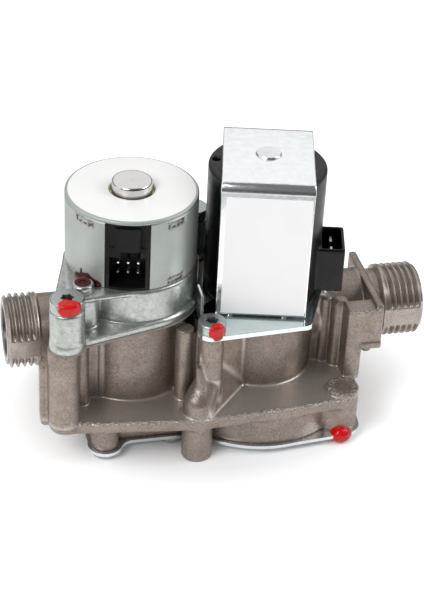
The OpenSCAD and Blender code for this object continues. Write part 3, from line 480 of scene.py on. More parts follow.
def finish(name, light, dark, rough, metal, lump=4.0, grit=0.3, bump=0.1, coat=0.0, spread=0.12, speck=0.0):
    """Procedural finish on Object coordinates: two tones mixed by soft lumps, roughness varied by the
    same lumps, and a fine grit as bump and as specks of tone. Sizes of lumps and grit are in millimetres."""
    material = bpy.data.materials.new(name + "_finish")
    material["slot"] = name
    material.use_nodes = True
    tree = material.node_tree
    shader = tree.nodes["Principled BSDF"]
    for key, value in (("Metallic", metal), ("Coat Weight", coat), ("Coat Roughness", 0.08)):
        shader.inputs[key].default_value = value
    spot = wired(tree, "TexCoord", {}).outputs["Object"]
    lumps = wired(tree, "TexNoise", {"Vector": spot, "Scale": 1 / (lump * MM), "Detail": 5, "Roughness": 0.55})
    fine = wired(tree, "TexNoise", {"Vector": spot, "Scale": 1 / (grit * MM), "Detail": 3})
    tone = wired(tree, "Mix", {"Factor": speck, "A": lumps.outputs["Fac"], "B": fine.outputs["Fac"]})
    tones = wired(tree, "ValToRGB", {"Fac": tone.outputs["Result"]})
    low, high = 0.3, 0.7
    for element, position, colour in zip(tones.color_ramp.elements, (low, high), (dark, light)):
        element.position = position
        element.color = (*colour, 1)
    gloss = wired(tree, "MapRange", {
        "Value": tone.outputs["Result"], "From Min": low, "From Max": high,
        "To Min": rough + spread / 2, "To Max": rough - spread / 2,
    })
    grit_rise = 0.1 * MM
    relief = wired(tree, "Bump", {"Strength": bump, "Distance": grit_rise, "Height": fine.outputs["Fac"]})
    tree.links.new(tones.outputs["Color"], shader.inputs["Base Color"])
    tree.links.new(gloss.outputs["Result"], shader.inputs["Roughness"])
    tree.links.new(relief.outputs["Normal"], shader.inputs["Normal"])
    return material


def overlaid(tree, amount, colour):
    """Mixes a colour over a finish by an amount from 0 to 1."""
    base = tree.nodes["Principled BSDF"].inputs["Base Color"]
    mix = tree.nodes.new("ShaderNodeMix")
    mix.data_type = "RGBA"
    tree.links.new(amount, mix.inputs["Factor"])
    tree.links.new(base.links[0].from_socket, mix.inputs[6])
    mix.inputs[7].default_value = (*colour, 1)
    tree.links.new(mix.outputs[2], base)


def darkened(material, attribute, colour):
    """Mixes a darker colour into a finish where a piece's own attribute says so: painted shade in a bore, a
    groove or a recess, and rust on the can.
    """
    overlaid(material.node_tree, marked(material.node_tree, attribute), colour)


def highlighted(material, highlight):
    """Paints highlights into a finish: brightens it and smooths it where attributes mark a painted sheen on
    fillets and the shelf and the grains of trimmed flash, whose glints are painted brighter, and raises those
    grains."""
    tree = material.node_tree
    shader = tree.nodes["Principled BSDF"]
    crumb, crumb_rise, sheen_gain = 0.7 * MM, 0.5 * MM, -0.14
    spot = wired(tree, "TexCoord", {}).outputs["Object"]
    crumbs = wired(tree, "TexNoise", {"Vector": spot, "Scale": 1 / crumb, "Detail": 2})
    peaks = wired(tree, "MapRange", {"Value": crumbs.outputs["Fac"], "From Min": 0.42, "From Max": 0.62})
    # grains of trimmed flash: raised by bump, and painted brighter as glints
    grains_and_glints = wired(tree, "Math", {0: peaks.outputs["Result"], 1: marked(tree, "flash_and_glints")}, "MULTIPLY").outputs[0]
    painted_shine = wired(tree, "Math", {0: grains_and_glints, 1: marked(tree, "painted_sheen")}, "MAXIMUM").outputs[0]
    # painted highlight: the fillet and shelf sheen and the flash glints are mixed in as a brighter colour
    overlaid(tree, painted_shine, highlight)
    rough, normal = shader.inputs["Roughness"], shader.inputs["Normal"]
    smooth = wired(tree, "Math", {0: painted_shine, 1: sheen_gain, 2: rough.links[0].from_socket}, "MULTIPLY_ADD")
    tree.links.new(smooth.outputs[0], rough)
    raised = wired(tree, "Bump", {
        "Strength": 0.9, "Distance": crumb_rise, "Height": grains_and_glints, "Normal": normal.links[0].from_socket,
    })
    tree.links.new(raised.outputs["Normal"], normal)


cast_aluminium = finish(
    "cast_aluminium", (0.38, 0.318, 0.276), (0.19, 0.156, 0.133),
    rough=0.41, metal=0.74, lump=4.0, grit=0.5, bump=0.7, speck=0.6,
)
pipe_aluminium = finish(
    "cast_aluminium", (0.48, 0.428, 0.388), (0.275, 0.238, 0.212),
    rough=0.36, metal=0.8, lump=3.0, grit=0.5, bump=0.4, speck=0.5,
)
cast_zinc = finish(
    "cast_zinc", (0.575, 0.592, 0.56), (0.335, 0.355, 0.338),
    rough=0.33, metal=0.85, lump=1.6, grit=0.6, bump=0.6, speck=0.5,
)
zinc_steel = finish(
    "zinc_steel", (0.86, 0.89, 0.9), (0.7, 0.745, 0.76),
    rough=0.22, metal=0.95, lump=2.0, grit=0.4, bump=0.08, speck=0.4,
)
yoke_steel = finish(
    "zinc_steel", (0.95, 0.97, 0.975), (0.85, 0.885, 0.9),
    rough=0.2, metal=0.95, lump=2.2, grit=0.4, bump=0.3, speck=0.3,
)
plate_steel = finish(
    "zinc_steel", (0.76, 0.835, 0.835), (0.63, 0.715, 0.715),
    rough=0.14, metal=0.95, lump=2.5, grit=0.4, bump=0.05, speck=0.4,
)
can_steel = finish(
    "can_steel", (0.44, 0.47, 0.446), (0.382, 0.413, 0.39),
    rough=0.46, metal=0.6, lump=8.0, grit=0.3, bump=0.06, speck=0.4,
)
screw_steel = finish(
    "screw_steel", (0.5, 0.53, 0.52), (0.34, 0.37, 0.36),
    rough=0.3, metal=0.95, lump=1.5, grit=0.3, bump=0.12, speck=0.5,
)
core_steel = finish(
    "core_steel", (0.72, 0.7, 0.68), (0.68, 0.66, 0.64),
    rough=0.2, metal=1.0, lump=6.0, grit=0.2, bump=0.03, spread=0.03,
)
pin_steel = finish(
    "screw_steel", (0.86, 0.86, 0.84), (0.74, 0.74, 0.72),
    rough=0.2, metal=0.9, lump=0.5, grit=0.2, bump=0.05,
)
black_plastic = finish(
    "black_plastic", (0.005, 0.005, 0.005), (0.0025, 0.0025, 0.0025),
    rough=0.34, metal=0.0, lump=3.0, grit=0.2, bump=0.12,
)
socket_plastic = finish(
    "black_plastic", (0.004, 0.004, 0.004), (0.002, 0.002, 0.002),
    rough=0.5, metal=0.0, lump=3.0, grit=0.2, bump=0.1,
)
copper_wire = finish(
    "copper_wire", (0.6, 0.26, 0.12), (0.42, 0.16, 0.07),
    rough=0.35, metal=0.9, lump=0.8, grit=0.3, bump=0.3,
)
rubber = finish(
    "rubber", (0.035, 0.035, 0.035), (0.02, 0.02, 0.02),
    rough=0.7, metal=0.0, lump=2.0, grit=0.2, bump=0.15,
)
fibre = finish(
    "rubber", (0.26, 0.24, 0.225), (0.19, 0.178, 0.165),
    rough=0.75, metal=0.0, lump=1.5, grit=0.3, bump=0.2,
)
brass = finish(
    "brass", (0.72, 0.56, 0.27), (0.6, 0.44, 0.2),
    rough=0.3, metal=1.0, lump=1.5, grit=0.2, bump=0.05,
)
label_film = finish(
    "label", (0.87, 0.87, 0.865), (0.84, 0.84, 0.835),
    rough=0.35, metal=0.0, lump=12.0, grit=0.3, bump=0.02,
)
red_lacquer = finish(
    "screw_steel", (0.6, 0.001, 0.001), (0.44, 0.0005, 0.0005),
    rough=0.3, metal=0.0, lump=1.5, grit=0.5, bump=0.25, coat=0.25,
)
dark_lacquer = finish(
    "screw_steel", (0.085, 0.001, 0.006), (0.03, 0.0005, 0.002),
    rough=0.3, metal=0.0, lump=1.0, grit=0.4, bump=0.2, coat=0.08,
)
for dull in (red_lacquer, dark_lacquer, black_plastic, socket_plastic):
    dull.node_tree.nodes["Principled BSDF"].inputs["Specular IOR Level"].default_value = 0.3
# painted highlights on the casting's fillets, shelf and trimmed flash
highlighted(cast_aluminium, (0.66, 0.62, 0.585))
# painted shade inside the threads' bores
darkened(pipe_aluminium, "shade_and_rust", (0.075, 0.08, 0.085))
# painted shade in the can's staked grooves, and rust round them
darkened(can_steel, "shade_and_rust", (0.1, 0.07, 0.045))
# painted shade down the screws' star recesses
darkened(screw_steel, "recess", (0.15, 0.155, 0.15))


# Castings


def valve_casting():
    """Die-cast body: towers, columns, ribs, rim, lug and pipe ends cast together with fillets, less the gas
    ways. Two attributes mark a painted sheen, as painted highlights from how far each fillet fills its corner
    and as painted light on the shelf, and the trimmed flash, from the way to the edges it stands on, painted
    with glints."""
    f = Field(body_low - 1.5, body_high + 1.5, 0.42)
    corners = [np.array([cover_corner[0], s * cover_corner[1]]) for s in (-1, 1)]
    lower = f.disc(coil_at, shell_r)
    wall_left, wall_half = -38.7, 18.4
    lower = np.minimum(lower, f.block(wall_left, coil_at[0], -wall_half, wall_half, 1))
    rim = lower
    for s, corner in zip((-1, 1), corners):
        lower = cast(lower, f.disc((cover_lobe[0], s * cover_lobe[1]), 3.9), 0.6)
        lower = cast(lower, f.belt(coil_at, shell_r / 2, corner, corner_r), 0.7)
        rim = np.minimum(rim, f.belt(coil_at, shell_r, corner, corner_r))
        edge = [(rim_left, 0), (rim_left, s * 24.6), (-13.1, s * rim_front), (-3.8, s * rim_front)]
        rim = np.minimum(rim, f.outline(edge + [(coil_at[0], s * shell_r), (coil_at[0], 0)]))
    d = cast(f.upright(lower, cover_top, rim_z + 1, 0.35), f.upright(rim, rim_z, shelf_z, 0.4), 0.5)
    filled = np.float32(0)

    def add(form, fillet=0.8):
        nonlocal d, filled
        joined = cast(d, form, fillet)
        filled = np.maximum(filled, (np.minimum(d, form) - joined) / fillet)
        d = joined

    for corner in corners:
        d = np.minimum(d, f.post(corner, corner_r, rim_z, shelf_z + corner_pad, 0.35))
    add(f.post(can_at, left_tower_r, rim_z + 1, left_top, 0.3), 1.0)
    add(f.box((rim_left, -9.5, rim_z), (can_at[0], 13, pipe_at[1]), 0.5), 0.6)
    add(f.box((rim_left, -14, rim_z), (-40.4, -6, left_top), 0.4), 0.3)
    column_at, column_r, foot_r = housing_boss + (-0.9, 0.7), 4.3, 3.2
    column_x, column_y = column_at
    column = f.block(column_x - 2.4, column_x + column_r, column_y, -12)
    column = np.minimum(f.disc(column_at, column_r), column)
    wing = f.block(column_x - column_r - 2.0, column_x, column_y + 0.9, column_y + 4.2, 0.4)
    wing = np.maximum(wing, f.z - pipe_at[1] - 4.8)
    foot_z = 11.3
    add(np.maximum(rounded(column + foot_r, foot_z - f.z + foot_r, foot_r), f.z - left_top), 0.8)
    add(rounded(wing + foot_r, foot_z - f.z + foot_r, foot_r), 0.3)
    add(f.post(housing_boss_back, boss_r, rim_z, left_top, 0.3))
    add(f.upright(f.belt(housing_boss_back, boss_r / 2, can_at, boss_r), rim_z, right_top - 1, 0.3))
    left_rib = can_at[0] - 16.0
    add(f.box((left_rib, -13.4, shelf_z - 1), (can_at[0] - 8.0, -8, left_top - 0.3), 0.3), 0.5)
    add(f.post((left_rib, -15.0), 2.2, shelf_z - 1, left_top), 0.6)
    for angle, r in ((-128, 0.7), (-45, 0.8)):
        a = math.radians(angle)
        spot = can_at + left_tower_r * np.array([math.cos(a), math.sin(a)])
        add(f.post(spot, r, shelf_z - 1, left_top), 0.4)
    add(f.box((can_at[0] + 11.4, -16.4, shelf_z - 1), (can_at[0] + 13.5, 0, right_top - 1), 0.3))
    add(f.post((can_at[0] + 12.5, -16.4), 2.5, shelf_z - 1, right_top, 0.35), 0.6)
    add(f.post((can_at[0] + 15.2, -15.8), 1.0, shelf_z - 1, right_top - 2, 0.3), 0.4)
    add(f.post(coil_at, right_tower_r, rim_z + 1, right_top, 0.3), 1.1)
    for s, at in ((1, plate_screw), (-1, plate_screw_back)):
        web = [at + s * np.array(p) for p in ((-2.6, 1.5), (2.4, 2.4))]
        web += [coil_at + s * np.array((-7.4, -13.6)), coil_at, (at[0] - s * 2.6, 0)]
        add(f.upright(f.outline(web), rim_z, right_top - 1.2, 0.3), 0.6)
        add(f.post(at, 3.6, rim_z, right_top, 0.3), 0.9)
    foot, head = np.array((lug_at[0] + 3.6, -shell_r)), coil_at + np.array((-6.8, -14))
    run = (head - foot) / np.linalg.norm(head - foot)
    along = (f.x - foot[0]) * run[0] + (f.y - foot[1]) * run[1]
    across = (f.y - foot[1]) * run[0] - (f.x - foot[0]) * run[1]
    wedge_h, wedge_w = 16, 5.6
    slope = (wedge_h * (0 - across) + wedge_w * (f.z - shelf_z)) / math.hypot(wedge_h, wedge_w)
    wedge = np.maximum(-along - 1, along - np.linalg.norm(head - foot))
    wedge = np.maximum(wedge, np.maximum(across - wedge_w, slope))
    add(np.maximum(wedge, shelf_z - 1 - f.z), 0.8)
    knee_z, knee_top = 17.6, 22.6
    knee_low, knee_high = np.append(lug_at, knee_z), np.append(plate_screw + (-0.3, -0.3), knee_top)
    lug = f.post(lug_at, lug_r, 0, knee_z, 0.4)
    lug = np.minimum(lug, f.taper(knee_low, lug_r, knee_high, 3.55))
    add(lug, np.interp(f.z, (18, 21), (1.0, 0.35)).astype(np.float32))
    ear_z, flange_top = pipe_at[1] - 3.8, pipe_at[1] + 10.6
    front, wall_y, pillar_x = -14.8, -5.0, flange_x - 10.3
    pillar_end, rib_x = pillar_x + 4.8, pillar_x - 3.9
    block_back, block_top = front + 6, flange_top - 1.4
    add(f.pipe(9.9, coil_at[0], flange_x), 1.0)
    add(f.box((coil_at[0], wall_y, rim_z), (rib_x, 17, right_top - 1.3), 0.4), 0.7)
    add(f.box((rib_x - 1, wall_y, rim_z), (pillar_end, 17, pipe_at[1]), 0.4), 0.6)
    add(f.box((flange_x - 2.3, front, ear_z), (flange_x, -front, flange_top), 0.7), 0.6)
    pillar = np.minimum(
        f.box((pillar_x, front, shelf_z - 1), (pillar_end, block_back, block_top), 0.4),
        f.box((pillar_x, block_back - 1, shelf_z - 1), (pillar_end, wall_y + 1, pipe_at[1]), 0.4),
    )
    add(np.where(f.z > ear_z - 1, 1e3, pillar), 0.6)
    block = f.box((pillar_x, front, ear_z), (flange_x, block_back, block_top), 0.4)
    d = np.minimum(d, np.minimum(pillar, block))
    d = np.minimum(d, f.box((pillar_end - 0.6, front - 0.3, ear_z), (flange_x, front + 1, ear_z + 2.3), 0.3))
    add(f.post((flange_x - 3.6, front + 2.4), 1.5, ear_z - 1.7, ear_z + 1, 0.3), 0.3)
    add(f.post((pillar_x - 0.3, wall_y - 2), 2.4, shelf_z - 1, block_top - 0.3, 1.2), 0.4)
    add(f.post((rib_x, wall_y + 0.2), 1.7, shelf_z - 1, right_top - 1.3, 0.5), 0.4)
    add(f.pipe(9.3, flange_x - 2, half_l - inlet_thread_l + 0.5), 0.8)
    add(f.pipe(9.9, outlet_thread_l - half_l - 0.5, can_at[0]), 1.0)
    test_z = pipe_at[1] - 2.7
    for x in (can_at[0], coil_at[0]):
        add(f.nipple(x, test_z, 6.2, 0, body_high[1] - 10, 0.5), 1.0)
        add(f.nipple(x, test_z, 4.5, 0, body_high[1], 0.5), 0.6)

    insert_z, insert_top, seat_z, seat_foot = 23.3, 25.5, 15.1, 14.2
    tube_r, insert_r, chamber_r, seat_r, seat_bore_r = 13.6, 12.05, 10.4, 7.7, 6.5
    diaphragm_r, diaphragm_rim_r, diaphragm_roof, rim_seat_z = 23.6, 25.7, 12.0, 3.8
    duct_top, riser_r, regulator_r, servo_r = 11, 9, 12.5, 2.45
    way_front, way_back, way_top = pipe_at[0] - bore_r, pipe_at[0] + bore_r - 1, pipe_at[1] + bore_r - 1
    test_front, test_back, test_r = body_high[1] - 7, body_high[1] + 1, 2.6
    for hollow in (
        f.pipe(bore_r, coil_at[0] + 16, half_l + 2),
        f.pipe(bore_r, -half_l - 2, can_at[0]),
        f.box((coil_at[0], way_front, insert_top + 0.4), (coil_at[0] + 17, way_back, way_top)),
        f.post(coil_at, tube_r, right_top - 2.5, right_top + 1),
        f.post(coil_at, insert_r, insert_z - 0.1, right_top),
        f.post(coil_at, chamber_r, seat_z, insert_z),
        carved(f.post(coil_at, chamber_r, seat_foot, seat_z + 0.1), f.post(coil_at, seat_r, 14, seat_z)),
        f.post(coil_at, seat_bore_r, diaphragm_roof - 0.1, seat_z + 0.1),
        f.post(coil_at, diaphragm_r, cover_top - 1, diaphragm_roof),
        f.post(coil_at, diaphragm_rim_r, cover_top - 1, rim_seat_z),
        f.box((-33.7, -12, cover_top - 1), (-15.4, 12, duct_top)),
        f.box((-16, -10, 5.8), (-7.4, 10, duct_top)),
        f.post(can_at, riser_r, duct_top - 0.1, pipe_at[1]),
        f.post(can_at, regulator_r, left_top - 2.7, left_top + 1),
        f.post(can_at, servo_r, pipe_at[1], left_top),
        f.nipple(can_at[0], test_z, test_r, test_front, test_back),
        f.nipple(coil_at[0], test_z, test_r, test_front, test_back),
    ):
        d = carved(d, hollow)

    points, faces = skin(f, d.astype(np.float32))
    x, y, z = points.T
    # trimmed flash on the rim, pads and block edge: real raised grains, which the finish also paints with
    # glints
    flash_and_glints = near(z - shelf_z + 0.25, 0.6) * near(sample(f, rim, points), 0.7)
    for corner in corners:
        pad = np.hypot(x - corner[0], y - corner[1]) - corner_r + 0.3
        level = near(z - shelf_z - corner_pad + 0.2, 0.5)
        flash_and_glints = np.maximum(flash_and_glints, 0.6 * level * near(np.maximum(pad, 0), 0.6) * near(np.minimum(pad, 0), 1.6))
    block_edge = near(z - block_top + 0.2, 0.4) * near(y - front, 0.45)
    flash_and_glints = np.maximum(flash_and_glints, block_edge * (x > pillar_x - 0.2) * (x < flange_x))
    # painted sheen: painted highlights along the filled fillets and painted light on the shelf's top
    fillet_sheen = np.clip(sample(f, filled, points) / 0.22 - 0.15, 0, 1)
    painted_sheen = 0.8 * fillet_sheen * np.clip((z - shelf_z) / 0.4 + 0.8, 0, 1)
    painted_sheen = np.maximum(painted_sheen, 0.5 * near(z - shelf_z, 0.3))
    flash_rise = 0.16
    points[:, 2] += flash_rise * flash_and_glints * grain(points, 0.8, 3)
    points[:, 1] += flash_rise * flash_and_glints * grain(points, 0.7, 4)
    points = np.clip(points, body_low, body_high)
    obj = piece("valve_casting", points, faces, cast_aluminium, "main_body")
    noted(obj, "painted_sheen", painted_sheen)
    noted(obj, "flash_and_glints", flash_and_glints)
    most_triangles = 185000
    thin = obj.modifiers.new("thinned", "DECIMATE")
    thin.ratio = min(1, most_triangles / (2 * len(faces)))
    return obj


def zinc_housing():
    """Spring housing: a round wall and its screw bosses cast on a foot flange, less the spring chamber."""
    f = Field(housing_low - 1, housing_high + 1, 0.4)
    foot_r, wall_r, roof_r, chamber_r, rod_hole_r = 19.3, 18.5, 18.2, 13, 2.3
    foot = np.minimum(f.disc(housing_boss, boss_r), f.disc(housing_boss_back, boss_r))
    for at in (housing_boss, housing_boss_back):
        foot = np.minimum(foot, f.belt(can_at, foot_r, at, boss_r / 2))
    d = f.upright(foot, housing_z, housing_z + 2, 0.4)
    d = cast(d, f.post(can_at, wall_r, housing_z, housing_top, 0.9), 0.7)
    for at in (housing_boss, housing_boss_back):
        d = cast(d, f.post(at, boss_r, housing_z, housing_top, 0.5), 0.7)
    reach = can_at + (can_screw - can_at) * 1.02
    d = cast(d, f.post(reach + (0.7, -0.2), 3.8, housing_z, housing_top - 0.5, 0.5), 0.7)
    roof = f.belt(can_at, roof_r, reach + (0.5, -0.2), 4.1)
    d = np.minimum(d, f.upright(roof, housing_top - 1.5, housing_top, 0.4))
    d = cast(d, f.upright(f.belt(can_at, 1.5, reach, 1.5), housing_z, housing_top - 0.3, 0.3), 0.6)
    on_boss, on_wall = np.radians((142, 164))
    side_wall = [
        housing_boss,
        housing_boss + 4.5 * np.array([math.cos(on_boss), math.sin(on_boss)]),
        can_at + (wall_r - 0.1) * np.array([math.cos(on_wall), math.sin(on_wall)]),
        can_at,
    ]
    for wall in (f.outline(side_wall), f.belt(can_at, boss_r, housing_boss_back, boss_r - 1.2)):
        d = cast(d, f.upright(wall, housing_z, housing_top, 0.5), 0.6)
    d = carved(d, f.post(can_at, chamber_r, housing_z - 1, housing_top - 1.5))
    d = carved(d, f.post(can_at, rod_hole_r, housing_top - 3, housing_top + 1))
    points, faces = skin(f, d.astype(np.float32))
    return piece("zinc_housing", points, faces, cast_zinc, "regulator_housing")


def coil_casing():
    """Moulded coil with flats under the yoke and a plug shroud on its side, less the room of the spool."""
    f = Field(moulding_low - 1, moulding_high + 1, 0.42)
    u, v = f.turned(coil_at)
    drum_r, drum_half, tube_r, spool_r, spool_z = 16.2, 15.25, 5.85, 13.6, 41.5
    drum = np.maximum(f.disc(coil_at, drum_r), np.abs(v) - drum_half)
    d = f.upright(drum, plate_top, coil_top, 0.9)

    def plug(middle, half_u, half_v, corner):
        """Plan of a rectangle with round corners beside the drum."""
        return rounded(np.abs(u - middle) - half_u + corner, np.abs(v) - half_v + corner, corner)

    shroud_z, shroud_top, plug_floor = 41.8, 55.4, 44.8
    d = cast(d, f.upright(plug(15.3, 7.3, 6.5, 0.5), shroud_z, shroud_top, 0.4), 0.6)
    d = carved(d, f.upright(plug(18.95, 2.65, 5.5, 0.3), plug_floor, 60))
    d = carved(d, f.post(coil_at, tube_r, plate_top - 1, coil_top + 1))
    d = carved(d, f.post(coil_at, spool_r, spool_z, coil_top - 2.3))
    vent_at, vent_r, vent_hole_r = coil_at + (-13.3, 4.6), 1.7, 1.1
    d = np.minimum(d, f.post(vent_at, vent_r, coil_top - 1, coil_top, 0.2))
    d = carved(d, f.post(vent_at, vent_hole_r, coil_top - 1.5, coil_top + 1))
    points, faces = skin(f, d.astype(np.float32))
    return piece("coil_casing", points, faces, black_plastic, "coil_moulding")


# Pipe threads


def pipe_thread(name, end, way, length, shoulder_r):
    """Threaded pipe end: radius as a ridge along a right-handed helix, faded out on the two parting flats,
    carried round a closed line of outside, end face and bore."""
    along = np.linspace(0, length, int(length * 14))
    a = np.linspace(0, 2 * np.pi, 240, endpoint=False)[:, None]
    x = end - way * (length - along)[None, :] + 0 * a
    turns = (x / thread_pitch - a / (2 * np.pi)) % 1
    ridge = np.clip(1.25 * np.abs(2 * turns - 1) - 0.12, 0, 1)
    ridge = ridge * ridge * (3 - 2 * ridge)
    away = np.degrees(np.arccos(np.clip(np.abs(np.cos(a)), 0, 1)))
    flat_half, fade = 15, 9
    cut = np.clip((away - flat_half) / fade, 0, 1)
    runout = np.clip(along / (1.3 * thread_pitch), 0, 1)[None, :]
    r = thread_r - thread_depth * (1 - ridge) * cut * runout
    r = np.minimum(r, thread_flat / np.maximum(np.abs(np.cos(a)), 0.2))
    lead_r, lead_slope = 9.35, 1.1
    r = np.minimum(r, lead_r + (length - along)[None, :] * lead_slope)
    root, ease = end - way * (length + 1.0), 0.5
    mouth = [(end, 9.0), (end, bore_r + ease), (end - way * ease, bore_r)]
    inside = np.array(mouth + [(root, bore_r), (root, shoulder_r - 0.3)])
    x = np.concatenate([x, np.tile(inside[:, 0], (len(a), 1))], 1)
    r = np.concatenate([r, np.tile(inside[:, 1], (len(a), 1))], 1)
    grid = np.stack([x, pipe_at[0] + r * np.cos(a), pipe_at[1] + r * np.sin(a)], 2)
    obj = wrapped(name, grid, pipe_aluminium, None, sharp=50)

    def bore_shade(x, y, z):
        """Painted shade: one inside the bore, falling to none on its mouth."""
        return np.clip((bore_r + 0.4 - np.hypot(y - pipe_at[0], z - pipe_at[1])) / 0.3, 0, 1)

    # the bore is painted with shade
    tint(obj, "shade_and_rust", bore_shade)
    return obj


# Can, lid and core


def rolled_can():
    """Rolled can: a wall section carried round the axis from one side of the seam to the other. Each staked
    slot is a groove along the edge of a rectangle on the wall, painted with shade varied by a grain of noise,
    with rust spots round it where that noise says so."""
    gap = math.asin(seam_half / can_r)
    seam = turn - math.pi / 2
    a = np.linspace(seam + gap, seam + 2 * np.pi - gap, 520)[:, None]
    rows, low_ease, top_ease, inner_r = 84, 0.3, 0.35, can_r - can_wall
    wall = np.linspace(housing_top + low_ease, can_top - top_ease, rows)
    r = np.concatenate([[inner_r, can_r - low_ease], np.full(rows, can_r), [can_r - top_ease, inner_r]])
    z = np.concatenate([[housing_top, housing_top], wall, [can_top, can_top]])
    r, z = r[None, :] + 0 * a, z[None, :] + 0 * a
    outside = r > can_r - 0.1
    shade_and_rust = 0 * r
    for angle, at in ((-144, can_top - 1.5), (-58, can_top - 1.5), (-57, housing_top + 1.5)):
        across = np.abs((a - math.radians(angle) + np.pi) % (2 * np.pi) - np.pi) * can_r
        slot_half_w, slot_half_h = 2.8, 0.6
        edge = np.maximum(across - slot_half_w, np.abs(z - at) - slot_half_h)
        groove = near(edge, 0.28) * outside
        r = r - (0.25 * groove + 0.12 * np.clip(-edge / 0.3, 0, 1)) * outside
        unrolled = np.stack([a * can_r + 0 * z, z, 0 * r], 2).reshape(-1, 3)
        spots = grain(unrolled, 0.55, 9).reshape(r.shape)
        rust = near(np.maximum(edge, 0), 0.7) * np.clip(3 * spots - 0.6, 0, 1)
        # painted shade along the groove, and rust spots round the slot
        shade_and_rust = np.maximum(shade_and_rust, np.clip(groove * (0.75 + spots), 0, 1) * 0.8 + 0.7 * rust * outside)
    grid = np.stack([can_at[0] + r * np.cos(a), can_at[1] + r * np.sin(a), z], 2)
    obj = wrapped("rolled_can", grid, can_steel, "steel_can", around=False)
    noted(obj, "shade_and_rust", np.clip(shade_and_rust, 0, 1))
    return obj


def torx(depth, mid=1.5, swing=0.24):
    """Star recess: the height drops inside a six-lobed radius."""

    def shape(r, a, z):
        edge = mid + swing * np.cos(6 * a)
        inside = np.clip((edge - r) / 0.15 + 0.5, 0, 1)
        return z - depth * inside * inside * (3 - 2 * inside) * (z > z.max() - 0.6)

    return shape


def screw_head(name, at, head_r, z0, z1, node, recess=1.4, ease=0.6, down=False):
    """Pan head turned from a line with eased edges and a star recess in its top."""
    ring = [(r, z1, 0.0001) for r in np.linspace(head_r - ease - 0.1, 0.05, 26)]
    corners = [(0, z0, 0.0001), (head_r, z0, 0.25), (head_r, z1, ease)] + ring + [(0, z1, 0.0001)]
    flip = (lambda r, a, z: z0 + z1 - torx(recess)(r, a, z)) if down else torx(recess)
    obj = turned_piece(name, at, corners, screw_steel, node, shape=flip)
    face, star_r = z0 if down else z1, 1.9

    def star_shade(x, y, z):
        """Painted shade: none on the face, rising to one down the recess."""
        return np.clip((np.abs(z - face) - 0.2) / 0.4, 0, 1) * (np.hypot(x - at[0], y - at[1]) < star_r)

    tint(obj, "recess", star_shade)
    return obj


def lacquer(name, low, high, solid, blotch, coat, thick=0.45):
    """Sealing lacquer: the layer within a thickness of a solid, kept inside a blotch, with a soft rim."""
    f = Field(low, high, 0.16)
    layer = solid(f) - thick
    patch = blotch(f)
    points = np.stack(np.broadcast_arrays(f.x, f.y, f.z), 3).reshape(-1, 3)
    wobble = grain(points, 1.3, 7).reshape(patch.shape) * 0.35
    d = -cast(-layer, -(patch + wobble), 0.35)
    points, faces = skin(f, d.astype(np.float32))
    points[:, :2] = np.clip(points[:, :2], body_low[:2] + 0.02, body_high[:2] - 0.02)
    points[:, 2] = np.maximum(points[:, 2], 0.05)
    return piece(name, points, faces, coat)


# Yoke


def beside_coil(u, v, z):
    """Points from sideways and depth coordinates in the frame of the yoke, and heights."""
    c, s = math.cos(turn), math.sin(turn)
    return np.stack(np.broadcast_arrays(coil_at[0] + u * c - v * s, coil_at[1] + u * s + v * c, z), 2)


def bent_yoke():
    """Bent yoke: a strip section with eased edges carried along an arch of two legs, two bends and a top."""
    bend, half_w = 3.2, 12.4
    quarter = np.linspace(0, np.pi / 2, 12)
    leg = np.linspace(plate_top + 0.5, yoke_top - bend, 8)[:-1]
    left = np.stack([-yoke_half + 0 * leg, leg, -1 + 0 * leg, 0 * leg], 1)
    out, up = np.cos(quarter), np.sin(quarter)
    arc = np.stack([-(yoke_half - bend) - bend * out, yoke_top - bend + bend * up, -out, up], 1)
    front = np.concatenate([left, arc])
    path = np.concatenate([front, front[::-1] * (-1, 1, -1, 1)])
    corners = [(-half_w, 0, 0.3), (half_w, 0, 0.3), (half_w, -yoke_t, 0.25), (-half_w, -yoke_t, 0.25)]
    section = eased(corners, 4)
    swell = 1 + 0.012 * np.exp(-(((path[:, 1] - yoke_top + 2.2) / 1.6) ** 2))
    u = section[None, :, 0] * swell[:, None]
    v = path[:, 0, None] + section[None, :, 1] * path[:, 2, None]
    z = path[:, 1, None] + section[None, :, 1] * path[:, 3, None]
    return wrapped("bent_yoke", beside_coil(u, v, z), yoke_steel, "yoke_bracket", around=False)


def yoke_foot(name, across, way):
    """Small foot under a yoke leg: an eased rectangle carried up from the plate."""
    middle = way * (yoke_half - yoke_t / 2)
    sides = ((-1, -1), (1, -1), (1, 1), (-1, 1))
    section = eased([(across + i * 0.6, middle + j * 0.8, 0.1) for i, j in sides], 3)
    z = np.array([plate_top, plate_top + 0.55])[:, None]
    grid = beside_coil(section[None, :, 0], section[None, :, 1], z)
    return wrapped(name, grid, zinc_steel, "yoke_bracket", around=False)


# Springs


def wire_spring(name, node, at, mid_r, wire, z0, z1, turns):
    """Round wire carried along a helix with a close turn at each end."""
    t = np.linspace(0, turns, int(turns * 28))[:, None]
    b = np.linspace(0, 2 * np.pi, 10, endpoint=False)[None, :]
    close = 1.06 * wire
    pitch = (z1 - z0 - wire - 2 * close) / (turns - 2)
    climb = close * (np.minimum(t, 1) + np.maximum(t - turns + 1, 0)) + pitch * np.clip(t - 1, 0, turns - 2)
    r = mid_r + wire / 2 * np.cos(b)
    z = z0 + wire / 2 + climb + wire / 2 * np.sin(b)
    grid = np.stack([at[0] + r * np.cos(2 * np.pi * t), at[1] + r * np.sin(2 * np.pi * t), z], 2)
    obj = wrapped(name, grid, screw_steel, node, around=False)
    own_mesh(obj)
    return obj


# Pieces

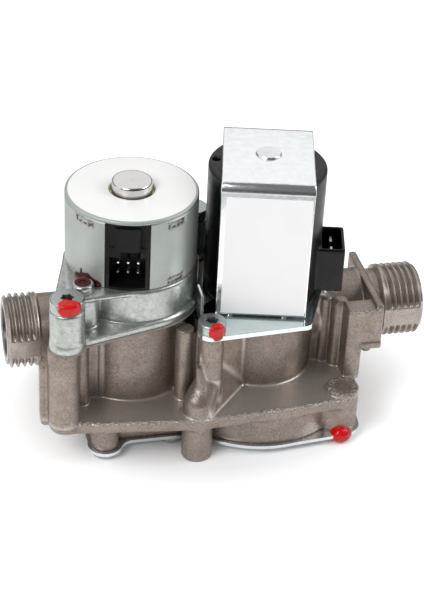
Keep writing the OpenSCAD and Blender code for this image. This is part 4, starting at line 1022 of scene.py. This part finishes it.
valve_casting()
zinc_housing()
coil_casing()
pipe_thread("inlet_thread", half_l, 1, inlet_thread_l, 9.3)
pipe_thread("outlet_thread", -half_l, -1, outlet_thread_l, 9.9)
rolled_can()
bent_yoke()
for i, (across, way) in enumerate(((-8.3, -1), (6.6, -1), (-7.5, 1), (7.5, 1))):
    yoke_foot(f"yoke_foot_{i}", across, way)

POINT = 0.001
ROUND = 160


def washer(inner, outer, low, high, *eases):
    """Corners of a flat ring's section, with an easing radius for each."""
    spots = (inner, low), (outer, low), (outer, high), (inner, high)
    return [(*spot, ease) for spot, ease in zip(spots, eases)]


lid_hole = 6.0
lid_line = [
    (lid_hole, can_top, 0.05), (can_r - 0.25, can_top, 0.05), (can_r, can_top + 0.3, 0.15),
    (can_r, lid_top, 0.45), (lid_hole, lid_top, 0.25),
]
turned_piece("can_lid_plate", can_at, lid_line, can_steel, "can_lid", segments=ROUND)
film = washer(6.4, 17.3, lid_top, lid_top + 0.15, 0.01, 0.01, 0.06, 0.06)
turned_piece("lid_film", can_at, film, label_film, "lid_label", segments=ROUND)
core_r, core_pin_r, core_pin_z = 1.9, 5.5, 57.1
core_line = [
    (0, core_low[2], POINT), (core_r, core_low[2], 0.2), (core_r, core_pin_z, 0.2),
    (core_pin_r, core_pin_z, 0.3), (core_pin_r, core_high[2], 0.8), (0, core_high[2], POINT),
]
turned_piece("regulating_core", can_at, core_line, core_steel, "regulator_core", "core_group")
pole_r, neck_r, yoke_under = 5, 2.6, yoke_top - yoke_t
pole_line = [
    (0, pole_z, POINT), (pole_r, pole_z, 0.2), (pole_r, yoke_under, 0.2), (neck_r, yoke_under, 0.1),
    (neck_r, yoke_top, 0.05), (3.6, yoke_top, 0.03), (3.2, pole_high[2], 0.1), (0, pole_high[2], POINT),
]
turned_piece("riveted_pole", coil_at, pole_line, zinc_steel, "fixed_pole")
tab_top = housing_top + 0.5
tab = washer(0, 3.1, housing_top, tab_top, POINT, 0.1, 0.15, POINT)
turned_piece("can_screw_tab", can_screw, tab, can_steel, "steel_can")
for i, at in enumerate((housing_boss, housing_boss_back)):
    screw_head(f"housing_screw_{i}", at, housing_head_r, housing_top, housing_screw_high[2], "housing_screws")
for i, at in enumerate((plate_screw, plate_screw_back)):
    screw_head(f"plate_screw_{i}", at, plate_head_r, plate_top, plate_screw_high[2], "coil_flange_screws")
screw_head("can_screw_head", can_screw, can_head_r, tab_top, can_screw_high[2], "can_screw", 1.0, 0.7)
cover_screw_spots = [(x, s * y) for x, y in (cover_corner, cover_lobe, (-15.5, 15.4)) for s in (-1, 1)]
for i, at in enumerate(cover_screw_spots):
    screw_head(f"cover_screw_{i}", at, cover_head_r, cover_screw_low[2], cover_z, "cover_screws", down=True)
for name, node, coat, width in (
    ("cover_sheet", "bottom_cover", zinc_steel, 0.25),
    ("flange_plate", "coil_flange_plate", plate_steel, 0.25),
    ("blades", "coil_terminals", screw_steel, 0.15),
    ("front_label", "yoke_label", label_film, 0.05),
    ("housing_gasket", "regulator_gasket", fibre, 0.1),
    ("spool_and_socket", "modulator_bobbin", socket_plastic, 0.15),
    ("socket_pins", "modulator_pins", pin_steel, 0.12),
    ("strainer", "inlet_strainer", screw_steel, 0.1),
    ("test_screws", "test_point_screws", brass, 0.2),
):
    softened(name, node, coat, width)
wire_spring(
    "plunger_return_spring", "plunger_spring", coil_at,
    mid_r=1.8, wire=0.8, z0=50.12, z1=62.08, turns=8,
)
wire_spring(
    "main_return_spring", "main_valve_spring", coil_at,
    mid_r=5.4, wire=0.6, z0=17.62, z1=23.28, turns=3,
)
wire_spring(
    "regulating_spring", "regulator_spring", can_at,
    mid_r=4.9, wire=0.8, z0=40.82, z1=50.38, turns=5,
)

inner_finishes = {
    "main_diaphragm": rubber, "diaphragm_plate": zinc_steel, "main_valve_disc": brass,
    "main_valve_seal": rubber, "seat_insert": brass, "valve_seal": rubber, "valve_disc": brass,
    "plunger": core_steel, "tube_o_ring": rubber, "armature_tube": core_steel, "coil_bobbin": black_plastic,
    "coil_winding": copper_wire, "regulator_plate": brass, "servo_nozzle": brass, "can_base": zinc_steel,
    "modulator_winding": copper_wire, "core_guide": brass,
}
for node, coat in inner_finishes.items():
    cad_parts[node].data.materials.clear()
    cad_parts[node].data.materials.append(coat)

sheet_low, sheet_high = cad("regulator_diaphragm")
sheet_r, sheet_z, plate_edge = (sheet_high[0] - sheet_low[0]) / 2, (sheet_low[2], sheet_high[2]), 9.3
rim_ring = washer(plate_edge + 0.1, sheet_r, *sheet_z, 0.05, 0.05, 0.05, 0.05)
turned_piece("servo_diaphragm_rim", can_at, rim_ring, rubber, "regulator_diaphragm")
centre_disc = washer(0, plate_edge, *sheet_z, POINT, 0.05, 0.05, POINT)
turned_piece("servo_diaphragm_centre", can_at, centre_disc, rubber, None, "core_group")


# Sealing lacquer


def boss_and_head(f, at, r, z, head_r, head_z):
    """Screw boss or plate ear with its screw head."""
    return np.minimum(f.post(at, r, z - 6, z, 0.4), f.post(at, head_r, z - 1, head_z, 0.5))


def box_round(at, low, high, z0, z1):
    """Corners of a box from offsets beside a place and two heights."""
    return (*(at + low), z0), (*(at + high), z1)


housing_head, plate_head, seal_top = housing_screw_high[2], plate_screw_high[2], can_screw_high[2] + 0.08
lacquer(
    "housing_lacquer", *box_round(housing_boss, (-4, -6.5), (6, 3), housing_top - 3, housing_head + 1),
    lambda f: boss_and_head(f, housing_boss, boss_r, housing_top, housing_head_r, housing_head),
    lambda f: f.lens((*(housing_boss + (0.1, -3.7)), housing_head - 0.9), (3.1, 2.6, 2.6)),
    red_lacquer,
)
lacquer(
    "plate_lacquer", *box_round(plate_screw, (-4, -6), (5, 2), plate_top - 3, plate_head + 1),
    lambda f: boss_and_head(f, plate_screw, 4.0, plate_top, plate_head_r, plate_head),
    lambda f: f.lens((*(plate_screw + (0.9, -3.5)), plate_top + 1.3), (2.5, 2.3, 2.6)),
    red_lacquer,
)
corner_front = np.array([cover_corner[0], -cover_corner[1]])


def corner_stack(f):
    """Cover sheet's lobe, corner post and screw head under the shelf's corner, with a drop hanging on them."""
    lobe, post = f.post(corner_front, 5.6, cover_z, cover_top), f.post(corner_front, corner_r, cover_top, 11)
    head = f.post(corner_front, cover_head_r, 0.1, cover_z)
    drop = f.lens((*(corner_front + (-0.9, -5.1)), 2.4), (2.3, 1.4, 1.8))
    return np.minimum(np.minimum(lobe, post), np.minimum(head, drop))


lacquer(
    "corner_lacquer", *box_round(corner_front, (-6, -7.5), (6, 0), -0.1, 8), corner_stack,
    lambda f: f.lens((*(corner_front + (-0.9, -4.8)), 2.5), (3.0, 2.6, 2.5)),
    red_lacquer, 0.5,
)
seal_r, seal_low = 2.25, can_screw_high[2] - 0.4
seal_line = [(0, seal_low, POINT), (seal_r, seal_low, 0.1), (seal_r, seal_top, 0.1)]
seal_line += [(r, seal_top, 0.0001) for r in np.linspace(2.0, 0.05, 26)] + [(0, seal_top, POINT)]
turned_piece("can_screw_seal", can_screw, seal_line, dark_lacquer, shape=torx(0.35, 1.1, 0.22))
beside = can_at + (can_screw - can_at) * can_r / np.linalg.norm(can_screw - can_at)


def on_can(across, rise):
    """Spot on the can's wall, from the way round it beside the can's screw and the height over the housing."""
    a = math.atan2(*(can_screw - can_at)[::-1]) + across / can_r
    return (*(can_at + can_r * np.array([math.cos(a), math.sin(a)])), housing_top + rise)


def can_and_tab(f):
    """Can's wall and the tab under its screw."""
    tab = f.upright(f.belt(can_screw, 2.7, can_at, 3.0), housing_top, tab_top)
    return np.minimum(f.post(can_at, can_r, housing_top, can_top), tab)


def brush_strokes(f):
    """Run of brush strokes on the can's wall: the nearest of bars between spots, each with its own width."""
    strokes = (
        ((-5.0, 0.7), (-3.6, 1.2), 0.9), ((-3.9, 1.0), (-3.5, 2.9), 0.55), ((-3.6, 1.7), (-0.6, 2.0), 0.8),
        ((-0.6, 2.0), (1.8, 1.2), 0.8), ((1.8, 1.2), (2.8, 0.4), 0.7),
    )
    return np.minimum.reduce([f.taper(on_can(*a), r, on_can(*b), r) for a, b, r in strokes])


lacquer(
    "can_screw_smear", *box_round(beside, -6, 6, housing_top + 0.3, housing_top + 7),
    can_and_tab, brush_strokes, dark_lacquer, 0.22,
)


# Studio


def shown_rays(tree, low, high):
    """One level for rays that light the part, and another for rays that show the surround or its reflection."""
    path = tree.nodes.new("ShaderNodeLightPath").outputs
    seen = wired(tree, "Math", {0: path["Is Camera Ray"], 1: path["Is Glossy Ray"]}, "MAXIMUM").outputs[0]
    shown = wired(tree, "Math", {0: seen, 1: path["Is Transmission Ray"]}, "MAXIMUM").outputs[0]
    return wired(tree, "MapRange", {"Value": shown, "To Min": low, "To Max": high}).outputs["Result"]


def plain_mesh(name, points, faces, coat):
    """Object of a few faces with one material, for the studio."""
    mesh = bpy.data.meshes.new(name)
    mesh.from_pydata(points, [], faces)
    mesh.materials.append(coat)
    return in_scene(name, mesh)


def reflected_card(name, way, rises, shade):
    """Card that only shows in the metal: part of a bowl round the part, wider and paler with height, on the
    camera's side or behind."""
    columns, rows, middle = 25, 11, (0, 0, 0.075)
    spread = np.linspace(-75, 75, columns)
    around, rise = np.meshgrid(np.radians(spread), np.radians(np.linspace(*rises, rows)), indexing="ij")
    reach = np.interp(rise, np.radians((-27, 0, 60)), (0.155, 0.5, 0.9))
    bowl = np.stack([np.sin(around) * np.cos(rise), -way * np.cos(around) * np.cos(rise), np.sin(rise)], 2)
    points = reach[..., None] * bowl + middle
    i, j = np.meshgrid(np.arange(columns - 1), np.arange(rows - 1), indexing="ij")
    first = (i * rows + j).ravel()
    faces = np.stack([first, first + rows, first + rows + 1, first + 1], 1)
    paper = bpy.data.materials.new(name + "_paper")
    paper.use_nodes = True
    tree = paper.node_tree
    shader = tree.nodes["Principled BSDF"]
    shader.inputs["Roughness"].default_value = 0.9
    spot = wired(tree, "TexCoord", {}).outputs["Object"]
    height = wired(tree, "SeparateXYZ", {"Vector": spot}).outputs["Z"]
    low, high, palest = 0.17, 0.42, 0.12
    tone = wired(tree, "MapRange", {
        "Value": height, "From Min": low, "From Max": high, "To Min": shade, "To Max": palest,
    })
    tree.links.new(tone.outputs["Result"], shader.inputs["Base Color"])
    card = plain_mesh(name, points.reshape(-1, 3).tolist(), faces.tolist(), paper)
    card.visible_camera = card.visible_diffuse = card.visible_shadow = False
    return card


def pale_floor():
    """White floor that glows for the rays that show it, less so in an oval under the part, which keeps the
    part's shadow and paints a darker oval of shadow round it."""
    white = bpy.data.materials.new("floor_white")
    white.use_nodes = True
    tree = white.node_tree
    shader = tree.nodes["Principled BSDF"]
    for key, value in (
        ("Base Color", (0.93, 0.93, 0.935, 1)), ("Roughness", 0.6), ("Specular IOR Level", 0.1),
        ("Emission Color", (1, 1, 1, 1)),
    ):
        shader.inputs[key].default_value = value
    half_across, half_deep, glow_most = 0.055, 0.046, 0.42
    spot = wired(tree, "TexCoord", {}).outputs["Object"]
    painted_shadow_oval = wired(tree, "VectorMath", {0: spot, 1: (1 / half_across, 1 / half_deep, 0)}, "MULTIPLY")
    away = wired(tree, "VectorMath", {0: painted_shadow_oval.outputs["Vector"]}, "LENGTH").outputs["Value"]
    # painted shadow: the floor's glow fades out in an oval round the part, darkening the floor there
    clear = wired(tree, "MapRange", {"Value": away, "From Min": 0.7, "From Max": 1.25, "To Max": glow_most})
    glow = wired(tree, "Math", {0: shown_rays(tree, 0, 1), 1: clear.outputs["Result"]}, "MULTIPLY")
    tree.links.new(glow.outputs[0], shader.inputs["Emission Strength"])
    r = 3.0
    return plain_mesh("floor", [(-r, -r, 0), (r, -r, 0), (r, r, 0), (-r, r, 0)], [(0, 1, 2, 3)], white)


def studio():
    """Pale floor, a white surround that also shows in the metal, a card before and behind, two soft lamps and
    the camera."""
    floor = pale_floor()
    cards = [reflected_card("dark_card", 1, (-27, 86), 0.015), reflected_card("back_card", -1, (-27, 16), 0.2)]

    world = bpy.data.worlds.new("surround")
    bpy.context.scene.world = world
    world.use_nodes = True
    background = world.node_tree.nodes["Background"]
    world.node_tree.links.new(shown_rays(world.node_tree, 0.62, 1.0), background.inputs["Strength"])
    background.inputs["Color"].default_value = (1, 1, 1, 1)

    aim = Vector((0, 0, 0.04))
    lamps = ("key", (-0.42, -0.3, 0.5), 0.3, 2.3), ("side", (0.5, -0.15, 0.45), 0.25, 1.2)
    for name, at, size, power in lamps:
        lamp = bpy.data.lights.new(name, "AREA")
        lamp.energy = power
        lamp.size = size
        obj = in_scene(name, lamp)
        obj.location = at
        obj.rotation_euler = (aim - obj.location).to_track_quat("-Z", "Y").to_euler()

    az, el, roll = -0.24112, 0.581517, 0.0511657
    back = Vector((math.sin(az) * math.cos(el), -math.cos(az) * math.cos(el), math.sin(el)))
    right = Vector((math.cos(az), math.sin(az), 0))
    up = back.cross(right)
    c, s = math.cos(roll), math.sin(roll)
    sensor, image_h, focal_px, shift_px = 36, 600, 1734.5, -0.7
    camera = bpy.data.cameras.new("camera")
    camera.sensor_width = sensor
    camera.lens = focal_px * sensor / image_h
    camera.shift_x = shift_px / image_h
    camera.clip_start = 0.01
    obj = in_scene("camera", camera)
    place = Matrix((right * c + up * s, up * c - right * s, back)).transposed().to_4x4()
    place.translation = Vector((-0.09912, -0.39776, 0.30419))
    obj.matrix_world = place
    bpy.context.scene.camera = obj


studio()
bpy.context.scene.view_settings.view_transform = "Standard"
